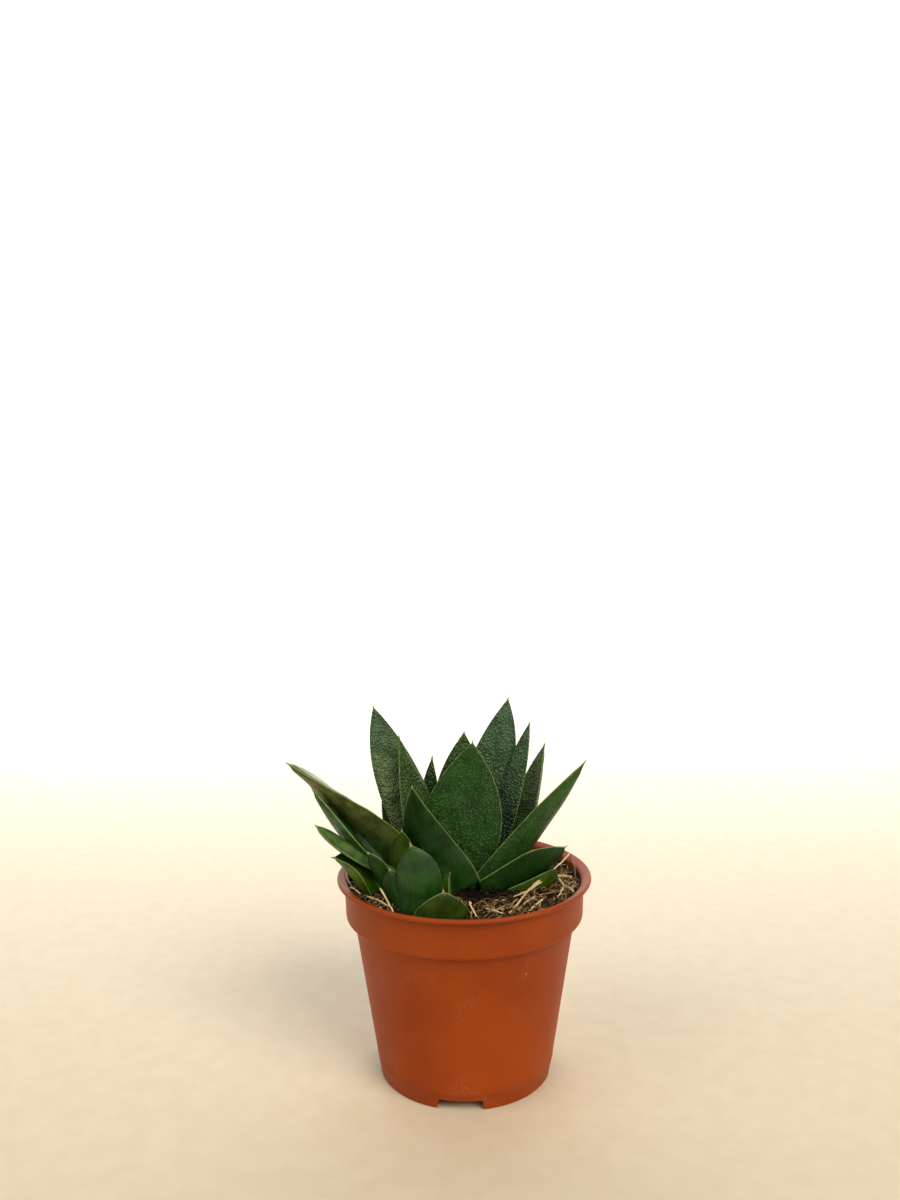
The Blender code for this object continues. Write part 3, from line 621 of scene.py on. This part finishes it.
def turn_up(name, profile, steps, middle, surface):
    """A closed turned solid: a disc is extruded and widened from one profile point to the next."""
    pick_nothing()
    radius, height = profile[0]
    place = (AXIS + Vector((*middle, height))) * MM
    bpy.ops.mesh.primitive_circle_add(
        vertices=steps, radius=radius * MM, fill_type="NGON", location=place
    )
    item = start_piece(name, surface)
    bpy.ops.object.mode_set(mode="EDIT")
    bpy.ops.mesh.select_all(action="SELECT")
    for next_radius, next_height in profile[1:]:
        rise = (next_height - height) * MM
        bpy.ops.mesh.extrude_region_move(TRANSFORM_OT_translate={"value": (0, 0, rise)})
        grow = next_radius / radius
        place[2] += rise
        bpy.ops.transform.resize(value=(grow, grow, 1), center_override=place)
        radius, height = next_radius, next_height
    bpy.ops.mesh.select_all(action="SELECT")
    bpy.ops.mesh.normals_make_consistent(inside=False)
    bpy.ops.object.mode_set(mode="OBJECT")
    settle(item)
    return item


def cut(item, cutter):
    """Takes the cutter's shape out of the item."""
    made = item.modifiers.new("cut", "BOOLEAN")
    made.object = cutter
    made.solver = "EXACT"
    bpy.context.view_layer.objects.active = item
    bpy.ops.object.modifier_apply(modifier=made.name)
    bpy.data.objects.remove(cutter, do_unlink=True)


def inner_radius(height):
    if height > BAND_BOTTOM + 3.0:
        share = (height - BAND_BOTTOM) / (POT_HEIGHT - BAND_BOTTOM)
        return BAND_RADIUS - BAND_TAPER * (1 - share) - WALL_THICK
    share = (height - FLOOR_UNDER) / (BAND_BOTTOM - FLOOR_UNDER)
    return WALL_FOOT_RADIUS + (WALL_TOP_RADIUS - WALL_FOOT_RADIUS) * share - WALL_THICK


def wall_radius(height):
    """The outside of the plain wall between the foot and the band."""
    top = BAND_BOTTOM - 2.4
    share = (height - FOOT_BEND) / (top - FOOT_BEND)
    return WALL_FOOT_RADIUS + (WALL_TOP_RADIUS - 0.25 - WALL_FOOT_RADIUS) * share


def pot_profile():
    floor_top = FLOOR_UNDER + FLOOR_THICK
    band_foot = BAND_RADIUS - BAND_TAPER
    mouth = inner_radius(POT_HEIGHT)
    inside = [
        (inner_radius(floor_top) - 1.5, floor_top),
        (inner_radius(floor_top + 0.5) - 0.4, floor_top + 0.4),
        (inner_radius(floor_top + 1.5), floor_top + 1.5),
        (inner_radius(BAND_BOTTOM), BAND_BOTTOM + 0.6),
        (inner_radius(BAND_BOTTOM + 3.1), BAND_BOTTOM + 3.1),
        (mouth, POT_HEIGHT - 2.1),
        (mouth + 0.3, POT_HEIGHT - 1.5),
        (mouth + 0.85, POT_HEIGHT - 1.05),
        (mouth + 1.5, POT_HEIGHT - 0.65),
        (mouth + 2.1, POT_HEIGHT - 0.4),
    ]
    rim = arc((LIP_RADIUS - LIP_ROUND, POT_HEIGHT - LIP_ROUND), LIP_ROUND, 128, -60, 16)
    band = [
        (BAND_RADIUS + 0.7, POT_HEIGHT - LIP_DROP + 0.1),
        (BAND_RADIUS + 0.2, POT_HEIGHT - LIP_DROP - 0.1),
        (BAND_RADIUS, POT_HEIGHT - LIP_DROP - 0.7),
    ]
    ledge = arc((band_foot - 1.6, BAND_BOTTOM + 1.6), 1.6, 0, -85, 8)
    under_band = [
        (WALL_TOP_RADIUS + 0.9, BAND_BOTTOM - 0.1),
        (WALL_TOP_RADIUS + 0.3, BAND_BOTTOM - 0.6),
        (WALL_TOP_RADIUS - 0.05, BAND_BOTTOM - 1.3),
        (wall_radius(BAND_BOTTOM - 2.4), BAND_BOTTOM - 2.4),
    ]
    ridge = [
        (wall_radius(7.4), 7.4),
        (wall_radius(7.1) + 0.14, 7.1),
        (wall_radius(6.8) + 0.14, 6.8),
        (wall_radius(6.5), 6.5),
    ]
    bend = arc((WALL_FOOT_RADIUS - FOOT_BEND, FOOT_BEND), FOOT_BEND, 0, -65, 9)
    foot = [
        (FOOT_RADIUS - 0.4, 0),
        (FOOT_RADIUS - FOOT_WIDTH, 0),
        (FOOT_RADIUS - FOOT_WIDTH - 0.5, FLOOR_UNDER),
    ]
    return inside + rim + band + ledge + under_band + ridge + bend + foot


def make_pot(surface):
    pot = turn_up("pot_moulded", pot_profile(), POT_STEPS, (0, 0), surface)
    for i in range(NOTCH_COUNT):
        turn = math.radians(NOTCH_TURN + 360 / NOTCH_COUNT * i)
        out = Vector((math.cos(turn), math.sin(turn), 0))
        pick_nothing()
        bpy.ops.mesh.primitive_cube_add(size=MM, location=(AXIS + out * FOOT_RADIUS) * MM)
        gate = bpy.context.object
        gate.scale = (NOTCH_DEPTH, NOTCH_WIDTH, 2 * NOTCH_HEIGHT)
        gate.rotation_euler.z = turn
        settle(gate)
        bpy.ops.object.mode_set(mode="EDIT")
        bpy.ops.mesh.select_all(action="DESELECT")
        bpy.ops.object.mode_set(mode="OBJECT")
        for face in gate.data.polygons:
            face.select = face.normal.z > 0.9
        bpy.ops.object.mode_set(mode="EDIT")
        narrow = NOTCH_TOP_WIDTH / NOTCH_WIDTH
        bpy.ops.transform.resize(
            value=(narrow, narrow, 1), center_override=(AXIS + out * FOOT_RADIUS) * MM
        )
        bpy.ops.object.mode_set(mode="OBJECT")
        cut(pot, gate)
        turn += math.radians(180 / NOTCH_COUNT)
        drill(pot, DRAIN_RING * math.cos(turn), DRAIN_RING * math.sin(turn))
    drill(pot, 0, 0)
    soft = pot.modifiers.new("soft edges", "BEVEL")
    soft.width = SOFT_EDGE * MM
    soft.segments = 2
    soft.limit_method = "ANGLE"
    soft.angle_limit = math.radians(60)
    bpy.context.view_layer.objects.active = pot
    bpy.ops.object.modifier_apply(modifier=soft.name)
    pick_nothing()
    pot.select_set(True)
    bpy.ops.object.shade_smooth_by_angle(angle=math.radians(35))
    hand_in(pot, "pot")


def drill(pot, x, y):
    pick_nothing()
    bpy.ops.mesh.primitive_cylinder_add(
        vertices=48,
        radius=DRAIN_RADIUS * MM,
        depth=DRAIN_DEPTH * MM,
        location=(AXIS + Vector((x, y, FLOOR_UNDER))) * MM,
    )
    cut(pot, bpy.context.object)


def soil_height(x, y):
    """The height of the soil's surface, with soft lumps as in the CAD."""
    place = Vector((x, y, 0))
    lumps = noise.noise(place / SOIL_LUMP) + 0.5 * noise.noise(place / (0.45 * SOIL_LUMP))
    edge = (math.hypot(x, y) / inner_radius(SOIL_TOP)) ** 4
    return min(SOIL_TOP + SOIL_RELIEF * lumps + 0.4 * edge, SOIL_CEILING)


def painted_shade(x, y):
    """How much shade is painted on the soil, from 0 in the open to 1 between the leaf bases."""
    far = math.hypot(
        (x - PAINTED_SHADE_MIDDLE[0]) / PAINTED_SHADE_RADII[0], (y - PAINTED_SHADE_MIDDLE[1]) / PAINTED_SHADE_RADII[1]
    )
    return max(0, min(1, 2.4 - 1.9 * far))


def pressed(x, y):
    """1 where the front leaves press on the soil up to the pot's wall, so nothing lies on it."""
    return float(PRESSED_ENDS[0] < x < PRESSED_ENDS[1] and y < PRESSED_START)


def make_soil_bed(surface):
    """A grid pressed to a disc, roughened, with its sides drawn down to the pot's floor."""
    reach = inner_radius(SOIL_TOP) - 0.05
    pick_nothing()
    bpy.ops.mesh.primitive_grid_add(
        x_subdivisions=SOIL_GRID, y_subdivisions=SOIL_GRID, size=2, location=(0, 0, 0)
    )
    bed = start_piece("soil_bed", surface)
    coarse, fine = CRUMBLE_SIZES
    shade = []
    for vert in bed.data.vertices:
        across, deep = vert.co.x, vert.co.y
        x = across * math.sqrt(1 - deep * deep / 2) * reach
        y = deep * math.sqrt(1 - across * across / 2) * reach
        place = Vector((x, y, 0))
        crumbs = abs(noise.noise(place / coarse)) + 0.6 * abs(noise.noise(place / fine))
        inside = min(1, (reach - place.length) / 1.5)
        inside *= 1 - pressed(x, y)
        relief = (crumbs - CRUMBLE_LEVEL) * CRUMBLE_HEIGHT * inside
        height = soil_height(x, y) + relief - PRESSED_SINK * pressed(x, y)
        # Painted light and shade: the soil is paler where its crumbly relief stands high and darker
        # in the hollows
        pale = 0.1 + 0.5 * crumbs * abs(noise.noise(place / SHADE_SIZE))
        # Painted shade: the soil is darker between the leaf bases
        shade.append(pale * (1 - painted_shade(x, y)))
        vert.co = (AXIS + Vector((x, y, height))) * MM
    bpy.ops.object.mode_set(mode="EDIT")
    bpy.ops.mesh.select_mode(type="EDGE")
    bpy.ops.mesh.select_all(action="DESELECT")
    bpy.ops.mesh.select_non_manifold()
    floor = FLOOR_UNDER + FLOOR_THICK + GAP
    centre = (AXIS + Vector((0, 0, SOIL_TOP))) * MM
    radius, height = reach, SOIL_TOP
    for next_height in (BAND_BOTTOM + 3.4, BAND_BOTTOM + 0.4, floor + 1.5, floor):
        next_radius = inner_radius(next_height) - GAP
        drop = (next_height - height) * MM
        bpy.ops.mesh.extrude_edges_move(TRANSFORM_OT_translate={"value": (0, 0, drop)})
        grow = next_radius / radius
        bpy.ops.transform.resize(value=(grow, grow, 1), center_override=centre)
        radius, height = next_radius, next_height
    bpy.ops.transform.resize(value=(1, 1, 0), center_override=(0, 0, floor * MM))
    bpy.ops.mesh.edge_face_add()
    bpy.ops.mesh.select_all(action="SELECT")
    bpy.ops.mesh.normals_make_consistent(inside=False)
    bpy.ops.object.mode_set(mode="OBJECT")
    bed.data.shade_smooth()
    shade += [0.1] * (len(bed.data.vertices) - len(shade))
    bed.data.attributes.new("shade", "FLOAT", "POINT").data.foreach_set("value", shade)
    hand_in(bed, "soil")


def crumb_shapes():
    """Five rough lumps of one size, each from a ball of twenty faces."""
    shapes = []
    for i in range(5):
        pick_nothing()
        bpy.ops.mesh.primitive_ico_sphere_add(subdivisions=1, radius=1, location=(0, 0, 0))
        lump = bpy.context.object
        for vert in lump.data.vertices:
            vert.co *= 1 + 0.7 * noise.noise(vert.co * 1.3 + Vector((7 * i, 3, 1)))
        shapes.append(lump.data.copy())
        bpy.data.objects.remove(lump, do_unlink=True)
    return shapes


def make_crumbs(surface):
    """Loose crumbs of peat and bark, scattered over the bed and half sunk in it."""
    draw = random.Random(CRUMB_SEED)
    shapes = crumb_shapes()
    heap = bmesh.new()
    shade = heap.verts.layers.float.new("shade")
    for _ in range(CRUMBS):
        reach = (inner_radius(SOIL_TOP) - 1.6) * math.sqrt(draw.random())
        turn = draw.uniform(0, 2 * math.pi)
        x, y = reach * math.cos(turn), reach * math.sin(turn)
        if pressed(x, y):
            continue
        size = CRUMB_SMALLEST + draw.random() ** 2.5
        place = Vector((x, y, soil_height(x, y) + 0.4 * size + draw.uniform(-0.2, 0.5)))
        # Crumbs between the leaf bases are darker: painted shade
        tone = draw.random() ** 2.2 * 0.85 * (1 - 0.75 * painted_shade(x, y))
        if draw.random() < PALE_CRUMBS and not painted_shade(x, y):
            size, tone = CRUMB_SMALLEST, 1.0
        lump = draw.choice(shapes).copy()
        turned = Matrix.Rotation(draw.uniform(0, 6.3), 4, draw_way(draw))
        grown = Matrix.Diagonal((size, size * draw.uniform(0.45, 1), size * 0.65, 1))
        moved = Matrix.Translation((AXIS + place) * MM)
        lump.transform(moved @ turned @ grown @ Matrix.Scale(MM, 4))
        first = len(heap.verts)
        heap.from_mesh(lump)
        heap.verts.ensure_lookup_table()
        for i in range(first, len(heap.verts)):
            heap.verts[i][shade] = tone
        bpy.data.meshes.remove(lump)
    mesh = bpy.data.meshes.new("soil_crumbs")
    heap.to_mesh(mesh)
    heap.free()
    mesh.materials.append(surface)
    mesh.shade_flat()
    crumbs = bpy.data.objects.new("soil_crumbs", mesh)
    bpy.context.scene.collection.objects.link(crumbs)
    hand_in(crumbs, "soil")
    for shape in shapes:
        bpy.data.meshes.remove(shape)


def draw_way(draw):
    return Vector((draw.gauss(0, 1), draw.gauss(0, 1), draw.gauss(0, 1))).normalized()


def strands(name, paths, surface, sides):
    """Thin strands made as one curve, turned to a mesh and closed at their ends.

    Each path has its tone from 0 to 1 and a list of (point, radius) in mm.
    """
    curve = bpy.data.curves.new(name, "CURVE")
    curve.dimensions = "3D"
    curve.bevel_depth = MM
    curve.bevel_resolution = sides
    tones = []
    for tone, path in paths:
        spline = curve.splines.new("POLY")
        spline.points.add(len(path) - 1)
        tones += [tone] * len(path)
        for knot, (point, radius) in zip(spline.points, path):
            knot.co = (*((AXIS + point) * MM), 1)
            knot.radius = radius
    item = bpy.data.objects.new(name, curve)
    bpy.context.scene.collection.objects.link(item)
    pick_nothing()
    item.select_set(True)
    bpy.context.view_layer.objects.active = item
    bpy.ops.object.convert(target="MESH")
    item = bpy.context.object
    item.data.materials.clear()
    item.data.materials.append(surface)
    ring = len(item.data.vertices) // len(tones)
    shade = item.data.attributes.new("shade", "FLOAT", "POINT")
    shade.data.foreach_set("value", [tone for tone in tones for _ in range(ring)])
    bpy.ops.object.mode_set(mode="EDIT")
    bpy.ops.mesh.select_all(action="SELECT")
    bpy.ops.mesh.fill_holes(sides=ring)
    bpy.ops.mesh.normals_make_consistent(inside=False)
    bpy.ops.object.mode_set(mode="OBJECT")
    item.data.shade_smooth()
    hand_in(item, "soil")


def straw_path(points, radius, draw):
    """A stiff straw through some points, a little crooked, with narrower torn ends."""
    spans = len(points) - 1
    steps = max(8, 5 * spans)
    path = []
    for i in range(steps + 1):
        share = i / steps * spans
        k = min(int(share), spans - 1)
        before, after = points[max(k - 1, 0)], points[min(k + 2, spans)]
        start, end = points[k], points[k + 1]
        t = share - k
        point = 0.5 * (
            2 * start
            + (end - before) * t
            + (2 * before - 5 * start + 4 * end - after) * t**2
            + (3 * start - before - 3 * end + after) * t**3
        )
        crook = Vector((draw.gauss(0, 1), draw.gauss(0, 1), 0)) * 0.08
        width = radius * draw.uniform(0.85, 1.1) * (1 - 0.3 * i / steps)
        if i in (0, steps):
            width *= 0.5
        path.append((point + crook, width))
    return path


def on_soil(x, y, lift):
    return Vector((x, y, soil_height(x, y) + lift))


def make_straws(surface):
    draw = random.Random(STRAW_SEED)
    look = random.Random(STRAW_LOOK_SEED)
    paths = []
    for points, radius, tone in SHOWN_STRAWS:
        paths.append((tone, straw_path([Vector(point) for point in points], radius, look)))
    for i in range(LOOSE_STRAWS):
        (x, y), (wide, deep) = LOOSE_STRAW_FIELDS[i % len(LOOSE_STRAW_FIELDS)]
        x += draw.uniform(-wide, wide)
        y += draw.uniform(-deep, deep)
        turn = draw.uniform(0, math.pi)
        half = draw.uniform(*LOOSE_STRAW_LENGTHS) / 2
        step = Vector((math.cos(turn) * half, math.sin(turn) * half, 0))
        ends = []
        for side in (-1, 1):
            place = Vector((x, y, 0)) + side * step
            reach = inner_radius(SOIL_TOP) - 2.0
            if place.length > reach:
                place *= reach / place.length
            ends.append(on_soil(place.x, place.y, draw.uniform(0.0, 0.35) + 0.6))
        tone = look.uniform(0.2, 0.9)
        paths.append((tone, straw_path(ends, look.uniform(*LOOSE_STRAW_RADII), look)))
    strands("soil_straws", paths, surface, 2)


def fibre_path(draw):
    """A curly fibre that rises out of the soil, arches over it and sinks in again."""
    reach = (inner_radius(SOIL_TOP) - 2.5) * math.sqrt(draw.uniform(0.02, 1))
    turn = draw.uniform(0, 2 * math.pi)
    place = Vector((reach * math.cos(turn), reach * math.sin(turn), 0))
    heading = draw.uniform(0, 2 * math.pi)
    curl = draw.gauss(0, 0.14)
    length = draw.uniform(*FIBRE_LENGTHS)
    arch = draw.uniform(0.5, 1.2) + 1.6 * draw.random() ** 4
    radius = 0.09 + 0.2 * draw.random() ** 2.5
    count = 5 + int(length)
    path = []
    for i in range(count):
        share = i / (count - 1)
        lift = arch * math.sin(math.pi * share) + 0.35
        path.append((on_soil(place.x, place.y, lift), radius * (1 - 0.4 * share)))
        heading += curl + draw.gauss(0, 0.28)
        step = length / (count - 1)
        place = place + Vector((math.cos(heading), math.sin(heading), 0)) * step
        limit = inner_radius(SOIL_TOP) - 0.6
        if place.length > limit:
            place *= limit / place.length
    return path


def make_fibres(surface):
    draw = random.Random(FIBRE_SEED)
    paths = []
    for _ in range(FIBRES):
        path = fibre_path(draw)
        if any(pressed(*point.xy) or painted_shade(*point.xy) > 0.8 for point, _ in path):
            continue
        x, y, _ = path[0][0]
        # Fibres between the leaf bases are darker: painted shade
        paths.append((draw.random() ** 1.6 * (1 - painted_shade(x, y)), path))
    strands("soil_fibres", paths, surface, 0)


def make_crown(name, middle, radius, surface):
    """A short stem with a rounded top and the scars of old leaves round it."""
    profile = [
        (radius * 0.9, SOIL_TOP - CROWN_SINK),
        (radius, SOIL_TOP - CROWN_SINK + 0.8),
        (radius, SOIL_TOP),
    ]
    for i in range(CROWN_SCARS):
        share = (i + 0.6) / (CROWN_SCARS + 0.4)
        wide = radius * (1 - (1 - CROWN_TAPER) * share)
        rise = SOIL_TOP + CROWN_RISE * share
        profile += [(wide, rise - 0.35), (wide * 0.95, rise), (wide * 0.98, rise + 0.35)]
    top = radius * CROWN_TAPER
    profile += [(top, SOIL_TOP + CROWN_RISE - 0.4), (top * 0.8, SOIL_TOP + CROWN_RISE)]
    crown = turn_up(name + "_stem", profile, CROWN_STEPS, middle, surface)
    crown.data.shade_smooth()
    hand_in(crown, name)


# Leaves


def leaf_width(leaf, t):
    if t < leaf.belly:
        share = leaf.base + (1 - leaf.base) * math.sin(math.pi / 2 * t / leaf.belly)
    else:
        share = 1 - ((t - leaf.belly) / (1 - leaf.belly)) ** leaf.point
    return leaf.width * share


def leaf_frame(leaf, t):
    """Place on the spine, and the directions along it, up from its face and to its side."""
    root = Vector(leaf.root)
    tip = Vector(leaf.tip)
    chord = (tip - root).normalized()
    up = Vector(leaf.face)
    up = (up - chord * up.dot(chord)).normalized()
    side = up.cross(chord)
    middle = (root + tip) / 2 + side * 2 * leaf.sweep - up * 2 * leaf.bow
    place = root * (1 - t) ** 2 + middle * 2 * t * (1 - t) + tip * t**2
    along = ((middle - root) * (1 - t) + (tip - middle) * t).normalized()
    turn = math.radians(leaf.twist * t)
    face = up * math.cos(turn) + side * math.sin(turn)
    face = (face - along * face.dot(along)).normalized()
    return place, along, face, face.cross(along)


def leaf_section(leaf, t, angle, seed):
    """A point of the skin in mm, with its place across the leaf and the leaf's half width there."""
    place, _, face, side = leaf_frame(leaf, t)
    half = max(leaf_width(leaf, t) / 2, MUCRO_RADIUS)
    taper = 1 - TIP_THINNING * t**2
    thick = max(min(leaf.thick * taper, half * 1.1), 2 * MUCRO_RADIUS) / 2
    across = math.cos(angle)
    height = math.sin(angle)
    swell = abs(height) ** (2 * LENS)
    swell = max(swell * thick, min(BEAD, thick) * min(1, abs(height) * 5))
    lift = leaf.channel * half * across**2
    if height < 0:
        lift -= leaf.keel * taper * (half / (leaf.width / 2)) * (1 - abs(across)) ** 1.2
    spot = Vector((across * half / WAVE_ACROSS, t * leaf.width / WAVE_ALONG, seed))
    lift += WAVE_HEIGHT * noise.noise(spot) * min(1, half / 4)
    skin = place + side * half * across + face * (math.copysign(swell, height) + lift)
    return skin, across * half, half


def wart_share(place, inward):
    """How high the skin stands in a wart, from 0 to 1. The warts fade out at the margins."""
    near = noise.voronoi(place / WART_SIZE)[0][0]
    share = max(0, min(1, (WART_EDGE - near) / WART_SLOPE))
    return share * share * (3 - 2 * share) * max(0, min(1, inward / WART_MARGIN))


def make_leaf(leaf, surface, seed):
    """A ball whose rings become the sections of the leaf, with the skin's measures kept on it."""
    finish = FINISHES[leaf.name]
    segments, stations = WARTY_MESH if finish.warts > LEAST_WARTS else SMOOTH_MESH
    pick_nothing()
    bpy.ops.mesh.primitive_uv_sphere_add(
        segments=segments, ring_count=stations + 1, radius=1, location=(0, 0, 0)
    )
    item = start_piece(leaf.name + "_skin", surface)
    mesh = item.data
    length = (Vector(leaf.tip) - Vector(leaf.root)).length
    upper, under, low = (Vector(linear(GREENS[green])) for green in finish[:3])
    skin, edges, looks, tints = [], [], [], []
    for vert in mesh.vertices:
        turn = math.acos(max(-1, min(1, vert.co.z))) / math.pi
        station = round(turn * (stations + 1))
        angle = math.atan2(vert.co.y, vert.co.x)
        t = 1 - (max(station - 1, 0) / (stations - 1)) ** TIP_CROWDING if station else 1
        if station == 0:
            place, along = leaf_frame(leaf, 1)[:2]
            point, across, half = place + along * leaf.mucro, 0, 0
        elif station == stations + 1:
            t = 0
            point, across, half = leaf_frame(leaf, 0)[0], 0, leaf_width(leaf, 0) / 2
        else:
            point, across, half = leaf_section(leaf, t, angle, seed)
        inward = half - abs(across)
        side = math.copysign(1, math.sin(angle))
        patch = Vector((across, t * length, side)) + PATTERN_STEP * seed
        wart = finish.warts * wart_share(patch, inward) if finish.warts else 0
        point = point + leaf_frame(leaf, t)[2] * side * wart * WART_HEIGHT
        vert.co = (AXIS + point) * MM
        skin.extend(patch)
        edges.extend((inward / finish.rim, (1 - t) * length, inward))
        looks.extend((finish.warts, finish.dots, finish.wax))
        # From the low green at the root to the upper or back green by the tip: painted shade
        # towards the root on most leaves
        tints.extend(low.lerp(upper if math.sin(angle) >= 0 else under, min(1, 0.1 + t)))
    for name, kind, values in (
        ("skin", "FLOAT_VECTOR", skin),
        ("edges", "FLOAT_VECTOR", edges),
        ("finish", "FLOAT_VECTOR", looks),
        ("tint", "FLOAT_COLOR", tints),
    ):
        layer = mesh.attributes.new(name, kind, "POINT")
        layer.data.foreach_set("color" if kind == "FLOAT_COLOR" else "vector", values)
    bpy.ops.object.mode_set(mode="EDIT")
    bpy.ops.mesh.select_all(action="SELECT")
    bpy.ops.mesh.normals_make_consistent(inside=False)
    bpy.ops.object.mode_set(mode="OBJECT")
    mesh.shade_smooth()
    hand_in(item, leaf.name)


# Stage


def make_floor():
    """A sheet of paper that lies flat and then curves up behind."""
    pick_nothing()
    bpy.ops.mesh.primitive_plane_add(size=SWEEP_SIZE, location=(0, SWEEP_SHIFT, 0))
    sweep = start_piece("floor", studio_paper())
    bpy.ops.object.mode_set(mode="EDIT")
    bpy.ops.mesh.select_mode(type="EDGE")
    bpy.ops.mesh.select_all(action="DESELECT")
    bpy.ops.object.mode_set(mode="OBJECT")
    back = SWEEP_SIZE / 2 - 0.1
    for edge in sweep.data.edges:
        edge.select = all(sweep.data.vertices[i].co.y > back for i in edge.vertices)
    bpy.ops.object.mode_set(mode="EDIT")
    bpy.ops.mesh.extrude_edges_move(TRANSFORM_OT_translate={"value": (0, 0, SWEEP_HEIGHT)})
    bpy.ops.object.mode_set(mode="OBJECT")
    for edge in sweep.data.edges:
        ends = [sweep.data.vertices[i].co for i in edge.vertices]
        edge.select = all(end.y > back and abs(end.z) < 0.01 for end in ends)
    bpy.ops.object.mode_set(mode="EDIT")
    bpy.ops.mesh.bevel(offset=SWEEP_BEND, segments=16)
    bpy.ops.object.mode_set(mode="OBJECT")
    settle(sweep)
    sweep.data.shade_smooth()


def make_lights():
    """A soft key light from the right, a weaker one from the left and one for the backdrop."""
    for name, (kind, place, target, energy, size, colour) in LIGHTS.items():
        lamp = bpy.data.lights.new(name, kind)
        lamp.energy = energy
        lamp.color = linear(colour)[:3]
        if kind == "SUN":
            lamp.angle = math.radians(size)
        else:
            lamp.shape = "RECTANGLE"
            lamp.size = size
            lamp.size_y = BACKDROP_LIGHT_DEPTH
        item = bpy.data.objects.new(name, lamp)
        bpy.context.scene.collection.objects.link(item)
        item.location = place
        ray = Vector(target) - Vector(place)
        item.rotation_euler = ray.to_track_quat("-Z", "Y").to_euler()
    world = bpy.data.worlds.new("studio")
    bpy.context.scene.world = world
    world.use_nodes = True
    air = {"Color": linear(AIR_COLOUR), "Strength": AIR_STRENGTH}
    feed(world.node_tree.nodes["Background"], air)


def make_camera():
    """The photograph's viewpoint: 41 cm away, 4.2 degrees down, with a slight roll."""
    pitch = math.radians(CAMERA_PITCH)
    roll = math.radians(CAMERA_ROLL)
    forward = Vector((0, math.cos(pitch), -math.sin(pitch)))
    right = Vector((1, 0, 0))
    up = right.cross(forward)
    level = math.cos(roll) * right + math.sin(roll) * up
    upright = -math.sin(roll) * right + math.cos(roll) * up
    lens = bpy.data.cameras.new("camera")
    lens.lens = CAMERA_LENS
    lens.sensor_width = CAMERA_SENSOR
    lens.clip_start = 0.01
    camera = bpy.data.objects.new("camera", lens)
    bpy.context.scene.collection.objects.link(camera)
    turn = Matrix((level, upright, -forward)).transposed()
    place = (AXIS + Vector(CAMERA_PLACE)) * MM
    camera.matrix_world = Matrix.Translation(place) @ turn.to_4x4()
    bpy.context.scene.camera = camera


def build():
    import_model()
    pick_nothing()
    make_camera()
    make_lights()
    make_floor()
    make_pot(pot_plastic())
    soil = potting_mix()
    make_soil_bed(soil)
    make_crumbs(soil)
    make_straws(dry_fibre("straw, dried and broken", "#8A6836", "#E8D0A0"))
    make_fibres(dry_fibre("coir fibre, curled", "#26180C", "#C8A46C"))
    stem = crown_tissue()
    for name, (middle, radius) in CROWNS.items():
        make_crown(name, middle, radius, stem)
    flesh = leaf_flesh()
    for number, leaf in enumerate(LEAVES):
        make_leaf(leaf, flesh, number + 1)
    bpy.context.scene.view_settings.view_transform = "Standard"
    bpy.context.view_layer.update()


build()
